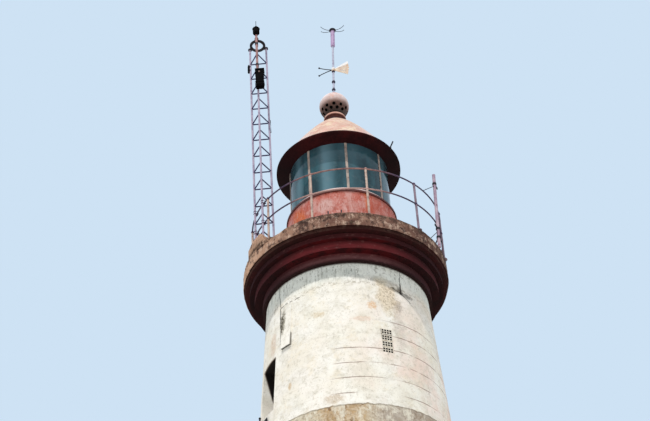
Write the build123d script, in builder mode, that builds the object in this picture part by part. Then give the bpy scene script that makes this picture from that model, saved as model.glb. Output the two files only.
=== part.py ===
from build123d import *
import math
import os

os.makedirs("parts", exist_ok=True)

# A round masonry lighthouse. Millimetres, +Z up, the ground under the tower's axis is the origin.
# Bearings are degrees round the axis: 0 faces -Y, 90 faces +X.

# Tower shaft
PLINTH_RADIUS = 2420
PLINTH_HEIGHT = 300
PLINTH_CHAMFER = 40
SHAFT_TOP = 15270
SHAFT_TOP_RADIUS = 1330
SHAFT_TAPER = 0.063
TOP_THICKNESS = 390
BASE_THICKNESS = 635
LOWER_STAGE_TOP = 10300
QUARTER = 90

# Openings in the shaft
WINDOW_WIDTH = 500
WINDOW_HEIGHT = 970
WINDOW_SILL = 12960
WINDOW_BEARING = -64
STOREY_HEIGHT = 4400
DOOR_WIDTH = 900
DOOR_HEIGHT = 2050
DOOR_THICKNESS = 60
DOOR_REVEAL = 220
STEP_RISE = 150
STEP_GOING = 320
STEP_WIDTH = 1300
VENT_BEARING = 23.3
VENT_BOTTOM = 13530
VENT_BLOCKS = 4
VENT_BLOCK_WIDTH = 176
VENT_BLOCK_HEIGHT = 98
VENT_BLOCK_DEPTH = 140
VENT_JOINT = 15
VENT_HOLE = 32
VENT_COLUMNS = 4
VENT_ROWS = 2
VENT_WEB = 10
VENT_JOINT_RECESS = 12

# Plaster strip and iron bracket on the shaft
STRIP_BEARING = -43
STRIP_ARC = 8
STRIP_BOTTOM = 13950
STRIP_THICKNESS = 45
BRACKET_BEARING = -63
BRACKET_BOTTOM = 12680
BRACKET_HEIGHT = 220
BRACKET_WIDTH = 150
BRACKET_PLATE = 12
BRACKET_REACH = 70
BRACKET_ROD_RADIUS = 13

# Cornice and gallery
CORNICE_HEIGHT = 400
COURSE_RADII = (1392, 1520, 1600)
COURSE_HEIGHTS = (150, 150, 85)
COURSE_ROUNDING = 42
COURSE_COVE = 26
SLAB_RADIUS = 1706
SLAB_THICKNESS = 340
SLAB_DRIP = 60
SLAB_DRIP_INSET = 26
HATCH_RADIUS = 400

# Railing, set a little towards +X on the slab
RAIL_CENTRE_X = 70
RAIL_RADIUS = 1613
RAIL_ROD_RADIUS = 12.5
TOP_RAIL_HEIGHT = 1000
MIDDLE_RAIL_HEIGHT = 565
POST_COUNT = 11
FIRST_POST_BEARING = -19.3
POST_RADIUS = 19
SEAT_GAP = 0.3

# Leaning pole beside the railing
POLE_BEARING = 67.5
POLE_LEAN = 2.0
POLE_LENGTH = 1575
POLE_RADIUS = 27
POLE_CLAMP_HEIGHTS = (190, 370, 1350)
POLE_CLAMP_THICKNESS = 9
POLE_CLAMP_HEIGHT = 34
POLE_ARM_LENGTH = 105
POLE_ARM_RADIUS = 8
STAY_RADIUS = 6
STAY_POLE_HEIGHT = 1330
STAY_RAIL_BEARING = 54.5
STAY_SLAB_HEIGHT = 340
STAY_SLAB_RADIUS = 1420
STAY_SLAB_BEARING = 62

# Lattice mast that straddles the railing
MAST_BEARING = -61.4
MAST_LEAN = 0.74
MAST_SIDE = 303
MAST_LEG_RADIUS = 18
MAST_BAR_RADIUS = 12
MAST_HEIGHT = 4781
MAST_PITCH = 388
MAST_LEVELS = 13
MAST_LOWER_LEVELS = 6
MAST_JOINT_GAP = 0.3
FOOTING_HEIGHT = 240
FOOTING_X = (-1565, -1125)
FOOTING_Y = (-1400, -430)
FOOTING_CHAMFER = 18
HEAD_RING_RADIUS = 146
HEAD_RING_WIDTH = 46
HEAD_PLATE = 24
LUG_RADIUS = 36
PIPE_RADIUS = 22
PIPE_LENGTH = 1020
PIPE_RISE = 120
PIPE_BEARING = 0
PIPE_CLAMP_DROPS = (186, 746)
CLAMP_WALL = 8
CLAMP_HEIGHT = 40
CABINET_WIDTH = 150
CABINET_SHIFT = 40
CABINET_DEPTH = 110
CABINET_HEIGHT = 410
CABINET_DROP = 931
CABINET_ROUNDING = 22

# Beacon on the pipe
BEACON_RADIUS = 62
BEACON_HEIGHT = 120
BEACON_HOOD_HEIGHT = 90
BEACON_SPIKE = 130
BEACON_SPIKE_RADIUS = 5
BEACON_SOCKET = 45

# Lantern
DRUM_RADIUS = 940
DRUM_WALL = 25
DRUM_HEIGHT = 1150
LIP_RADIUS = 957
LIP_HEIGHT = 38
SILL_RADIUS = 905
SILL_HEIGHT = 90
PANE_RADIUS = 870
PANE_THICKNESS = 8
PANE_HEIGHT = 1045
PANE_COUNT = 8
FIRST_MULLION_BEARING = 10
MULLION_WIDTH = 42
MULLION_DEPTH = 46
HEAD_RING_DEPTH = 40
SOFFIT_RISE = 57
EAVE_RADIUS = 1104
EAVE_EDGE = 26
ROOF_FOOT_RADIUS = 1074
ROOF_CROWN_RADIUS = 173
ROOF_HEIGHT = 1202
ROOF_SHOULDER = (450, 1022)
ROOF_SKIN = 12

# Ventilator and spindle
BALL_RADIUS = 275
BALL_SKIN = 8
BALL_HOLE_RADIUS = 31
BALL_HOLES = 11
BALL_HOLE_ELEVATIONS = (-29, -43.5)
NECK_HEIGHT = 208
NECK_TUBE_RADIUS = 172
NECK_STEM_RADIUS = 100
NECK_WALL = 14
NECK_BEAD_RADIUS = 206
NECK_BEAD_BOTTOM = 80
NECK_BEAD_HEIGHT = 86
SPINDLE_LEAN = 1.8
SPINDLE_RADIUS = 20
SPINDLE_FLANGE_RADIUS = 40
SPINDLE_FLANGE_HEIGHT = 24
SPINDLE_KNOB_RADIUS = 35
SPINDLE_KNOB_HEIGHTS = (180, 390)
TUBE_RADIUS = 40
TUBE_START = 1385
TUBE_LENGTH = 420
CAP_RADIUS = 64
CAP_HEIGHT = 70
CAP_RIM = 13
SPIKE_RADIUS = 5
SPIKE_REACH = 235
SPIKE_RISE = 60
SPIKE_SAG = 9
SPIKE_BEARINGS = (-105, -75, 75, 105)

# Weather vane
VANE_HEIGHT = 725
VANE_TURN = 8.5
VANE_HUB_RADIUS = 34
VANE_HUB_HEIGHT = 84
VANE_BORE_CLEARANCE = 0.5
VANE_SEAT_RADIUS = 30
VANE_SEAT_HEIGHT = 14
VANE_PLATE = 10
TAIL_REACH = 302
TAIL_SHOULDER = 281
TAIL_RISE = 179
TAIL_SLOTS = 4
TAIL_SLOT_WIDTH = 16
TAIL_SLOT_LENGTH = 139
TAIL_SLOT_PLACE = 198
TAIL_SLOT_TURN = 12.5
ARM_REACH = 275
ARM_DROP = 105
ARM_BEND = 150
ARM_BEND_DROP = 44
ARM_RADIUS = 8
ARM_TIP_RADIUS = 17

# Small iron hook at the eave
HOOK_BEARING = 60
HOOK_RADIUS = 12
HOOK_LENGTH = 150
HOOK_SHANK = 56
HOOK_BEND_RADIUS = 26


# Levels that the sizes above give
cornice_top = SHAFT_TOP + CORNICE_HEIGHT
slab_top = cornice_top + SLAB_THICKNESS
footing_top = slab_top + FOOTING_HEIGHT
mast_top = footing_top + MAST_HEIGHT


def outer_radius(z):
    return SHAFT_TOP_RADIUS + SHAFT_TAPER * (SHAFT_TOP - z)


def inner_radius(z):
    share = (SHAFT_TOP - z) / (SHAFT_TOP - PLINTH_HEIGHT)
    return outer_radius(z) - TOP_THICKNESS - share * (BASE_THICKNESS - TOP_THICKNESS)


def around(radius, bearing, z=0):
    angle = math.radians(bearing)
    return Vector(radius * math.sin(angle), -radius * math.cos(angle), z)


def upright(bearing, origin=(0, 0, 0)):
    """A vertical plane through the axis: its x runs outwards at the bearing and its y runs up."""
    outwards = around(1, bearing)
    return Plane(origin=origin, x_dir=outwards, z_dir=outwards.cross(Vector(0, 0, 1)))


def outward(bearing, radius, z):
    """A plane that faces outwards at the bearing: its x runs level and its y runs up."""
    facing = around(1, bearing)
    return Plane(origin=around(radius, bearing, z), x_dir=Vector(0, 0, 1).cross(facing), z_dir=facing)


def save(piece, name):
    piece.part.label = name
    export_step(piece.part, f"parts/{name}.step")


# Plinth
with BuildPart() as plinth:
    Cylinder(PLINTH_RADIUS, PLINTH_HEIGHT, align=(Align.CENTER, Align.CENTER, Align.MIN))
    chamfer(plinth.edges().group_by(Axis.Z)[-1], PLINTH_CHAMFER)
save(plinth, "plinth")

# Shaft: two stages of four quarter walls, cut through for the windows, the doorway and the vent
DOOR_BOTTOM = PLINTH_HEIGHT
VENT_HEIGHT = VENT_BLOCKS * VENT_BLOCK_HEIGHT + (VENT_BLOCKS - 1) * VENT_JOINT
WINDOWS = (
    (WINDOW_BEARING, WINDOW_SILL),
    (WINDOW_BEARING + 180, WINDOW_SILL - STOREY_HEIGHT),
    (WINDOW_BEARING, WINDOW_SILL - 2 * STOREY_HEIGHT),
)
HOLES = [(bearing, sill, WINDOW_WIDTH, WINDOW_HEIGHT) for bearing, sill in WINDOWS]
HOLES.append((0, DOOR_BOTTOM, DOOR_WIDTH, DOOR_HEIGHT))
HOLES.append((VENT_BEARING, VENT_BOTTOM, VENT_BLOCK_WIDTH + 2 * SEAT_GAP, VENT_HEIGHT))
STAGES = (("lower", PLINTH_HEIGHT, LOWER_STAGE_TOP), ("upper", LOWER_STAGE_TOP, SHAFT_TOP))
SIDES = (("front", 0), ("right", QUARTER), ("back", 2 * QUARTER), ("left", 3 * QUARTER))


def turn_between(first, second):
    """The smaller angle between two bearings."""
    return abs((first - second + 180) % 360 - 180)


for stage, bottom, top in STAGES:
    for side, middle in SIDES:
        with BuildPart() as wall:
            with BuildSketch(upright(middle - QUARTER / 2)):
                with BuildLine():
                    Polyline(
                        (inner_radius(bottom), bottom),
                        (outer_radius(bottom), bottom),
                        (outer_radius(top), top),
                        (inner_radius(top), top),
                        close=True,
                    )
                make_face()
            revolve(axis=Axis.Z, revolution_arc=QUARTER)
            for bearing, sill, width, height in HOLES:
                if turn_between(bearing, middle) < QUARTER / 2 and bottom < sill + height and sill < top:
                    with BuildSketch(outward(bearing, 0, sill)):
                        Rectangle(width, height, align=(Align.CENTER, Align.MIN))
                    extrude(amount=PLINTH_RADIUS, mode=Mode.SUBTRACT)
        save(wall, f"{stage}_wall_{side}")

# Entrance door and step
door_face_radius = outer_radius(DOOR_BOTTOM + DOOR_HEIGHT) - DOOR_REVEAL
with BuildPart() as entrance_door:
    with BuildSketch(outward(0, door_face_radius - DOOR_THICKNESS, DOOR_BOTTOM)):
        Rectangle(DOOR_WIDTH - 2 * SEAT_GAP, DOOR_HEIGHT - SEAT_GAP, align=(Align.CENTER, Align.MIN))
    extrude(amount=DOOR_THICKNESS)
save(entrance_door, "entrance_door")

with BuildPart() as entrance_step:
    with BuildSketch(Plane.XY):
        with Locations((0, -PLINTH_RADIUS)):
            Rectangle(STEP_WIDTH, 2 * STEP_GOING)
        Circle(PLINTH_RADIUS + SEAT_GAP, mode=Mode.SUBTRACT)
    extrude(amount=STEP_RISE)
save(entrance_step, "entrance_step")

# Vent: a stack of hollow clay blocks in mortar, flush with the wall's face
vent_face_radius = outer_radius(VENT_BOTTOM + VENT_HEIGHT / 2)
block_pitch = VENT_BLOCK_HEIGHT + VENT_JOINT
hole_pitch = VENT_HOLE + VENT_WEB
with BuildPart() as vent_blocks:
    with BuildSketch(outward(VENT_BEARING, vent_face_radius - VENT_BLOCK_DEPTH, VENT_BOTTOM)):
        Rectangle(VENT_BLOCK_WIDTH, VENT_HEIGHT, align=(Align.CENTER, Align.MIN))
        for block in range(VENT_BLOCKS):
            with Locations((0, block * block_pitch + VENT_BLOCK_HEIGHT / 2)):
                with GridLocations(hole_pitch, hole_pitch, VENT_COLUMNS, VENT_ROWS):
                    Rectangle(VENT_HOLE, VENT_HOLE, mode=Mode.SUBTRACT)
    extrude(amount=VENT_BLOCK_DEPTH)
    with BuildSketch(outward(VENT_BEARING, vent_face_radius, VENT_BOTTOM)):
        for joint in range(1, VENT_BLOCKS):
            with Locations((0, joint * block_pitch - VENT_JOINT / 2)):
                Rectangle(VENT_BLOCK_WIDTH, VENT_JOINT)
    extrude(amount=-VENT_JOINT_RECESS, mode=Mode.SUBTRACT)
save(vent_blocks, "vent_blocks")

# Raised plaster strip, from the cornice down the wall
with BuildPart() as wall_strip:
    with BuildSketch(upright(STRIP_BEARING - STRIP_ARC / 2)):
        with BuildLine():
            Polyline(
                (outer_radius(STRIP_BOTTOM), STRIP_BOTTOM),
                (outer_radius(STRIP_BOTTOM) + STRIP_THICKNESS, STRIP_BOTTOM),
                (outer_radius(SHAFT_TOP) + STRIP_THICKNESS, SHAFT_TOP),
                (outer_radius(SHAFT_TOP), SHAFT_TOP),
                close=True,
            )
        make_face()
    revolve(axis=Axis.Z, revolution_arc=STRIP_ARC)
save(wall_strip, "wall_strip")

# Iron bracket under the upper window
bracket_seat = outer_radius(BRACKET_BOTTOM)
bracket_tail = BRACKET_WIDTH / 2 - 2 * BRACKET_ROD_RADIUS
with BuildPart() as wall_bracket:
    with BuildSketch(outward(BRACKET_BEARING, bracket_seat, BRACKET_BOTTOM)):
        Rectangle(BRACKET_WIDTH, BRACKET_HEIGHT, align=(Align.CENTER, Align.MIN))
    extrude(amount=BRACKET_PLATE)
    with BuildSketch(outward(BRACKET_BEARING, bracket_seat, BRACKET_BOTTOM)):
        with Locations((-bracket_tail, BRACKET_HEIGHT / 2)):
            Rectangle(2 * BRACKET_ROD_RADIUS, 2 * BRACKET_ROD_RADIUS)
    extrude(amount=BRACKET_REACH)
    rod_plane = outward(BRACKET_BEARING, bracket_seat + BRACKET_REACH, BRACKET_BOTTOM)
    with BuildSketch(Plane(origin=rod_plane.from_local_coords((-bracket_tail, 0, 0)), z_dir=(0, 0, 1))):
        Circle(BRACKET_ROD_RADIUS)
    extrude(amount=BRACKET_HEIGHT + 3 * BRACKET_ROD_RADIUS)
    with Locations(rod_plane.from_local_coords((-bracket_tail, BRACKET_HEIGHT + 3 * BRACKET_ROD_RADIUS, 0))):
        Sphere(1.5 * BRACKET_ROD_RADIUS)
save(wall_bracket, "wall_bracket")

# Cornice: three courses stepping out under the gallery slab, each with a rounded foot and a cove above it
cornice_inner = inner_radius(SHAFT_TOP)
course_levels = [SHAFT_TOP + sum(COURSE_HEIGHTS[:course]) for course in range(len(COURSE_HEIGHTS) + 1)]
cornice_outline = [(cornice_inner, SHAFT_TOP)]
for radius, bottom, top in zip(COURSE_RADII, course_levels, course_levels[1:]):
    cornice_outline += [(radius, bottom), (radius, top)]
top_step = cornice_top - course_levels[-1]
cornice_outline += [(COURSE_RADII[-1] - top_step, cornice_top), (cornice_inner, cornice_top)]
with BuildPart() as cornice:
    with BuildSketch(Plane.XZ) as cornice_profile:
        with BuildLine():
            Polyline(*cornice_outline, close=True)
        make_face()
        corners = cornice_profile.vertices().filter_by(lambda v: v.X > cornice_inner)
        for radius, bottom, top in zip(COURSE_RADII, course_levels, course_levels[1:]):
            feet = [v for v in corners if abs(v.X - radius) < SEAT_GAP and abs(v.Z - bottom) < SEAT_GAP]
            coves = [v for v in corners if abs(v.X - radius) < SEAT_GAP and abs(v.Z - top) < SEAT_GAP]
            fillet(feet, COURSE_ROUNDING)
            if top < course_levels[-1]:
                fillet(coves, COURSE_COVE)
    revolve(axis=Axis.Z)
save(cornice, "cornice")

# Gallery slab with its drip edge and the stair hatch
with BuildPart() as gallery_slab:
    with BuildSketch(Plane.XZ):
        with BuildLine():
            Polyline(
                (HATCH_RADIUS, cornice_top),
                (SLAB_RADIUS - SLAB_DRIP_INSET, cornice_top),
                (SLAB_RADIUS, cornice_top + SLAB_DRIP),
                (SLAB_RADIUS, slab_top),
                (HATCH_RADIUS, slab_top),
                close=True,
            )
        make_face()
    revolve(axis=Axis.Z)
save(gallery_slab, "gallery_slab")

# Concrete footing of the mast, flush with the slab's round face
with BuildPart() as mast_footing:
    with BuildSketch(Plane.XY.offset(slab_top)):
        with Locations((sum(FOOTING_X) / 2, sum(FOOTING_Y) / 2)):
            Rectangle(FOOTING_X[1] - FOOTING_X[0], FOOTING_Y[1] - FOOTING_Y[0])
        Circle(SLAB_RADIUS, mode=Mode.INTERSECT)
    extrude(amount=FOOTING_HEIGHT)
    chamfer(mast_footing.faces().sort_by(Axis.Z)[-1].edges(), FOOTING_CHAMFER)
save(mast_footing, "mast_footing")


# Railing: posts, and two rows of curved rods fixed between them
def rail_spot(bearing, radius=RAIL_RADIUS, z=0):
    return Vector(RAIL_CENTRE_X, 0, 0) + around(radius, bearing, z)


def on_footing(spot):
    return FOOTING_X[0] < spot.X < FOOTING_X[1] and FOOTING_Y[0] < spot.Y < FOOTING_Y[1]


post_bearings = [FIRST_POST_BEARING + 360 / POST_COUNT * index for index in range(POST_COUNT)]
post_top = slab_top + TOP_RAIL_HEIGHT + RAIL_ROD_RADIUS
with BuildPart() as railing_posts:
    for bearing in post_bearings:
        spot = rail_spot(bearing)
        foot = footing_top if on_footing(spot) else slab_top
        with Locations(Vector(spot.X, spot.Y, foot)):
            Cylinder(POST_RADIUS, post_top - foot, align=(Align.CENTER, Align.CENTER, Align.MIN))
save(railing_posts, "railing_posts")

for name, height in (("top_rail", TOP_RAIL_HEIGHT), ("middle_rail", MIDDLE_RAIL_HEIGHT)):
    rail_z = slab_top + height
    with BuildPart() as rail:
        with BuildSketch(Plane.XZ):
            with Locations((RAIL_CENTRE_X + RAIL_RADIUS, rail_z)):
                RegularPolygon(RAIL_ROD_RADIUS, 8)
        revolve(axis=Axis((RAIL_CENTRE_X, 0, 0), (0, 0, 1)))
        for bearing in post_bearings:
            with Locations(rail_spot(bearing, z=rail_z)):
                Cylinder(POST_RADIUS + SEAT_GAP, 4 * RAIL_ROD_RADIUS, mode=Mode.SUBTRACT)
    save(rail, name)

# Pole that leans out beside the railing, with its clamps and short arms
lean = math.radians(POLE_LEAN)
pole_angle = math.radians(POLE_BEARING)
rail_reach = math.sqrt(RAIL_RADIUS**2 - (RAIL_CENTRE_X * math.cos(pole_angle)) ** 2)
rail_distance = RAIL_CENTRE_X * math.sin(pole_angle) + rail_reach
pole_stand_off = RAIL_ROD_RADIUS + POLE_RADIUS + SEAT_GAP - MIDDLE_RAIL_HEIGHT * math.tan(lean)
pole_foot = around(rail_distance + pole_stand_off, POLE_BEARING, slab_top)
pole_rise = around(math.sin(lean), POLE_BEARING, math.cos(lean))
pole_plane = Plane(origin=pole_foot, x_dir=around(1, POLE_BEARING).cross(Vector(0, 0, 1)), z_dir=pole_rise)
with BuildPart() as side_pole:
    with BuildSketch(pole_plane.offset(-POLE_RADIUS)):
        Circle(POLE_RADIUS)
    extrude(amount=POLE_LENGTH + POLE_RADIUS)
    split(bisect_by=Plane.XY.offset(slab_top), keep=Keep.TOP)
save(side_pole, "side_pole")

with BuildPart() as pole_clamps:
    for index, height in enumerate(POLE_CLAMP_HEIGHTS):
        side = 1 if index % 2 else -1
        with BuildSketch(pole_plane.offset(height)):
            Circle(POLE_RADIUS + POLE_CLAMP_THICKNESS)
            with Locations((side * (POLE_RADIUS + POLE_ARM_LENGTH / 2), 0)):
                Rectangle(POLE_ARM_LENGTH, 2 * POLE_ARM_RADIUS)
            Circle(POLE_RADIUS + SEAT_GAP, mode=Mode.SUBTRACT)
        extrude(amount=POLE_CLAMP_HEIGHT)
save(pole_clamps, "pole_clamps")

# Two thin stays that hold the pole: one to the top rail, one down to the slab
rail_end = rail_spot(STAY_RAIL_BEARING, RAIL_RADIUS, slab_top + TOP_RAIL_HEIGHT)
slab_end = around(STAY_SLAB_RADIUS, STAY_SLAB_BEARING, slab_top)
stay_runs = ((STAY_POLE_HEIGHT, rail_end), (STAY_SLAB_HEIGHT, slab_end))
with BuildPart() as pole_stays:
    for height, end in stay_runs:
        start = pole_foot + pole_rise * height
        run = end - start
        with BuildSketch(Plane(origin=start, z_dir=run)):
            RegularPolygon(STAY_RADIUS, 8)
        extrude(amount=run.length)
        with BuildSketch(pole_plane):
            Circle(POLE_RADIUS + SEAT_GAP)
        extrude(amount=POLE_LENGTH, mode=Mode.SUBTRACT)
    with BuildSketch(Plane.XZ):
        with Locations((RAIL_CENTRE_X + RAIL_RADIUS, slab_top + TOP_RAIL_HEIGHT)):
            Circle(RAIL_ROD_RADIUS + SEAT_GAP)
    revolve(axis=Axis((RAIL_CENTRE_X, 0, 0), (0, 0, 1)), mode=Mode.SUBTRACT)
    split(bisect_by=Plane.XY.offset(slab_top), keep=Keep.TOP)
save(pole_stays, "pole_stays")

# Lantern drum with its lip, and the sill on it
drum_top = slab_top + DRUM_HEIGHT
with BuildPart() as lantern_drum:
    with BuildSketch(Plane.XZ):
        with BuildLine():
            Polyline(
                (DRUM_RADIUS - DRUM_WALL, slab_top),
                (DRUM_RADIUS, slab_top),
                (DRUM_RADIUS, drum_top - LIP_HEIGHT),
                (LIP_RADIUS, drum_top - LIP_HEIGHT),
                (LIP_RADIUS, drum_top),
                (DRUM_RADIUS - DRUM_WALL, drum_top),
                close=True,
            )
        make_face()
    revolve(axis=Axis.Z)
save(lantern_drum, "lantern_drum")

sill_inner = PANE_RADIUS - MULLION_DEPTH
sill_top = drum_top + SILL_HEIGHT
with BuildPart() as lantern_sill:
    with BuildSketch(Plane.XZ):
        with BuildLine():
            Polyline(
                (sill_inner, drum_top),
                (LIP_RADIUS - LIP_HEIGHT / 2, drum_top),
                (SILL_RADIUS, drum_top + SILL_HEIGHT / 2),
                (SILL_RADIUS, sill_top - SILL_HEIGHT / 5),
                (PANE_RADIUS + PANE_THICKNESS, sill_top),
                (sill_inner, sill_top),
                close=True,
            )
        make_face()
    revolve(axis=Axis.Z)
save(lantern_sill, "lantern_sill")

# Glazing: mullions and curved panes between them
pane_top = sill_top + PANE_HEIGHT
mullion_bearings = [FIRST_MULLION_BEARING + 360 / PANE_COUNT * index for index in range(PANE_COUNT)]
mullion_middle = PANE_RADIUS - MULLION_DEPTH / 2 + PANE_THICKNESS
with BuildPart() as lantern_mullions:
    for bearing in mullion_bearings:
        with BuildSketch(Plane(origin=around(mullion_middle, bearing, sill_top), x_dir=around(1, bearing))):
            Rectangle(MULLION_DEPTH, MULLION_WIDTH)
        extrude(amount=PANE_HEIGHT)
save(lantern_mullions, "lantern_mullions")

with BuildPart() as lantern_panes:
    with BuildSketch(Plane.XY.offset(sill_top)):
        Circle(PANE_RADIUS)
        Circle(PANE_RADIUS - PANE_THICKNESS, mode=Mode.SUBTRACT)
        for bearing in mullion_bearings:
            with Locations(Plane(origin=around(mullion_middle, bearing), x_dir=around(1, bearing)).location):
                Rectangle(2 * MULLION_DEPTH, MULLION_WIDTH + 2 * SEAT_GAP, mode=Mode.SUBTRACT)
    extrude(amount=PANE_HEIGHT)
save(lantern_panes, "lantern_panes")

head_outer = PANE_RADIUS + PANE_THICKNESS
head_top = pane_top + HEAD_RING_DEPTH
with BuildPart() as lantern_head:
    with BuildSketch(Plane.XY.offset(pane_top)):
        Circle(head_outer)
        Circle(sill_inner, mode=Mode.SUBTRACT)
    extrude(amount=HEAD_RING_DEPTH)
save(lantern_head, "lantern_head")

# Roof: the eave with its sloping soffit, the steep skin, and the neck
soffit_edge_z = pane_top + SOFFIT_RISE
eave_top = soffit_edge_z + EAVE_EDGE
with BuildPart() as roof_eave:
    with BuildSketch(Plane.XZ):
        with BuildLine():
            Polyline(
                (sill_inner, head_top),
                (head_outer + SEAT_GAP, head_top),
                (head_outer + SEAT_GAP, pane_top),
                (EAVE_RADIUS, soffit_edge_z),
                (EAVE_RADIUS, eave_top),
                (sill_inner, eave_top),
                close=True,
            )
        make_face()
    revolve(axis=Axis.Z)
save(roof_eave, "roof_eave")

crown_z = eave_top + ROOF_HEIGHT
with BuildPart() as roof:
    with BuildSketch(Plane.XZ):
        with BuildLine():
            shoulder_radius, shoulder_rise = ROOF_SHOULDER
            foot = (ROOF_FOOT_RADIUS, eave_top)
            crown = (ROOF_CROWN_RADIUS, crown_z)
            shoulder = (shoulder_radius, eave_top + shoulder_rise)
            inside_foot = (ROOF_FOOT_RADIUS - ROOF_SKIN, eave_top)
            inside_shoulder = (shoulder_radius - ROOF_SKIN, eave_top + shoulder_rise - ROOF_SKIN)
            inside_crown = (ROOF_CROWN_RADIUS, crown_z - ROOF_SKIN)
            Bezier(foot, shoulder, crown)
            Bezier(inside_foot, inside_shoulder, inside_crown)
            Line(foot, inside_foot)
            Line(crown, inside_crown)
        make_face()
    revolve(axis=Axis.Z)
save(roof, "roof")

# Neck: a short tube under a rolled bead, and the narrower stem on which the ball sits
neck_inner = NECK_TUBE_RADIUS - NECK_WALL
neck_top = crown_z + NECK_HEIGHT
bead_bottom = crown_z + NECK_BEAD_BOTTOM
ball_z = neck_top + math.sqrt(BALL_RADIUS**2 - NECK_STEM_RADIUS**2)
stem_inner = NECK_STEM_RADIUS - NECK_WALL
with BuildPart() as roof_neck:
    with BuildSketch(Plane.XZ):
        with BuildLine():
            bead_top = bead_bottom + NECK_BEAD_HEIGHT
            Polyline(
                (NECK_TUBE_RADIUS, bead_bottom),
                (NECK_TUBE_RADIUS, crown_z - ROOF_SKIN),
                (neck_inner, crown_z - ROOF_SKIN),
                (neck_inner, bead_top - NECK_WALL),
                (stem_inner, bead_top - NECK_WALL),
                (stem_inner, neck_top + NECK_WALL),
                (NECK_STEM_RADIUS, neck_top),
                (NECK_STEM_RADIUS, bead_top),
                (NECK_TUBE_RADIUS, bead_top),
            )
            ThreePointArc(
                (NECK_TUBE_RADIUS, bead_top),
                (NECK_BEAD_RADIUS, bead_bottom + NECK_BEAD_HEIGHT / 2),
                (NECK_TUBE_RADIUS, bead_bottom),
            )
        make_face()
    revolve(axis=Axis.Z)
    with Locations((0, 0, ball_z)):
        Sphere(BALL_RADIUS + SEAT_GAP, mode=Mode.SUBTRACT)
save(roof_neck, "roof_neck")

# Ball ventilator, a thin sphere with two staggered rows of holes
# The spheres' seams run through the middle of a lower hole
hole_turn = 360 / BALL_HOLES
seam_turn = (0, 0, 2.5 * hole_turn - QUARTER)
with BuildPart() as ventilator_ball:
    with Locations((0, 0, ball_z)):
        Sphere(BALL_RADIUS, rotation=seam_turn)
        Sphere(BALL_RADIUS - BALL_SKIN, rotation=seam_turn, mode=Mode.SUBTRACT)
    for row, elevation in enumerate(BALL_HOLE_ELEVATIONS):
        rise = math.radians(elevation)
        for index in range(BALL_HOLES):
            bearing = (index + row / 2) * hole_turn
            facing = around(math.cos(rise), bearing, math.sin(rise))
            with BuildSketch(Plane(origin=(0, 0, ball_z), z_dir=facing).offset(BALL_RADIUS / 2)):
                Circle(BALL_HOLE_RADIUS)
            extrude(amount=BALL_RADIUS, mode=Mode.SUBTRACT)
save(ventilator_ball, "ventilator_ball")

# Spindle: a turned bar on the ball, leaning a little towards +X, with two knobs, the vane's seat and a tube
lean_angle = math.radians(SPINDLE_LEAN)
spindle_rise = Vector(math.sin(lean_angle), 0, math.cos(lean_angle))
spindle_foot = Vector(0, 0, ball_z) + spindle_rise * BALL_RADIUS
spindle_plane = Plane(origin=spindle_foot, x_dir=Vector(0, 1, 0).cross(spindle_rise), z_dir=spindle_rise)
spindle_side = Plane(origin=spindle_plane.origin, x_dir=spindle_plane.x_dir, z_dir=(0, -1, 0))
spindle_axis = Axis(spindle_plane.origin, spindle_rise)
seat_height = VANE_HEIGHT - VANE_HUB_HEIGHT / 2 - SEAT_GAP - VANE_SEAT_HEIGHT
tube_top = TUBE_START + TUBE_LENGTH
upwards = (Align.CENTER, Align.CENTER, Align.MIN)
with BuildPart(spindle_plane) as spindle:
    with Locations((0, 0, -BALL_SKIN)):
        Cylinder(SPINDLE_RADIUS, tube_top + BALL_SKIN, align=upwards)
        Cylinder(SPINDLE_FLANGE_RADIUS, SPINDLE_FLANGE_HEIGHT, align=upwards)
    with Locations(*[(0, 0, height) for height in SPINDLE_KNOB_HEIGHTS]):
        Sphere(SPINDLE_KNOB_RADIUS)
    with Locations((0, 0, seat_height)):
        Cylinder(VANE_SEAT_RADIUS, VANE_SEAT_HEIGHT, align=upwards)
    with Locations((0, 0, TUBE_START)):
        Cylinder(TUBE_RADIUS, TUBE_LENGTH, align=upwards)
    with Locations((0, 0, -BALL_RADIUS)):
        Sphere(BALL_RADIUS + SEAT_GAP, mode=Mode.SUBTRACT)
save(spindle, "spindle")

# Cap with four curved spikes
with BuildPart() as spindle_cap:
    with BuildSketch(spindle_side):
        with BuildLine():
            Polyline(
                (0, tube_top),
                (TUBE_RADIUS, tube_top),
                (CAP_RADIUS - CAP_RIM, tube_top + CAP_RIM),
                (CAP_RADIUS, tube_top + 2 * CAP_RIM),
                (CAP_RADIUS, tube_top + 3 * CAP_RIM),
                (CAP_RADIUS / 2, tube_top + CAP_HEIGHT - CAP_RIM / 2),
                (0, tube_top + CAP_HEIGHT),
                close=True,
            )
        make_face()
    revolve(axis=spindle_axis)
    for bearing in SPIKE_BEARINGS:
        spike_root = spindle_axis.position + spindle_rise * (tube_top + 2.5 * CAP_RIM)
        with BuildLine(upright(bearing, spike_root)) as spike_line:
            ThreePointArc((CAP_RADIUS / 2, 0), (SPIKE_REACH / 2, -SPIKE_SAG), (SPIKE_REACH, SPIKE_RISE))
        with BuildSketch(Plane(origin=spike_line.line @ 0, z_dir=spike_line.line % 0)):
            Circle(SPIKE_RADIUS)
        sweep(path=spike_line.line)
save(spindle_cap, "spindle_cap")

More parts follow.
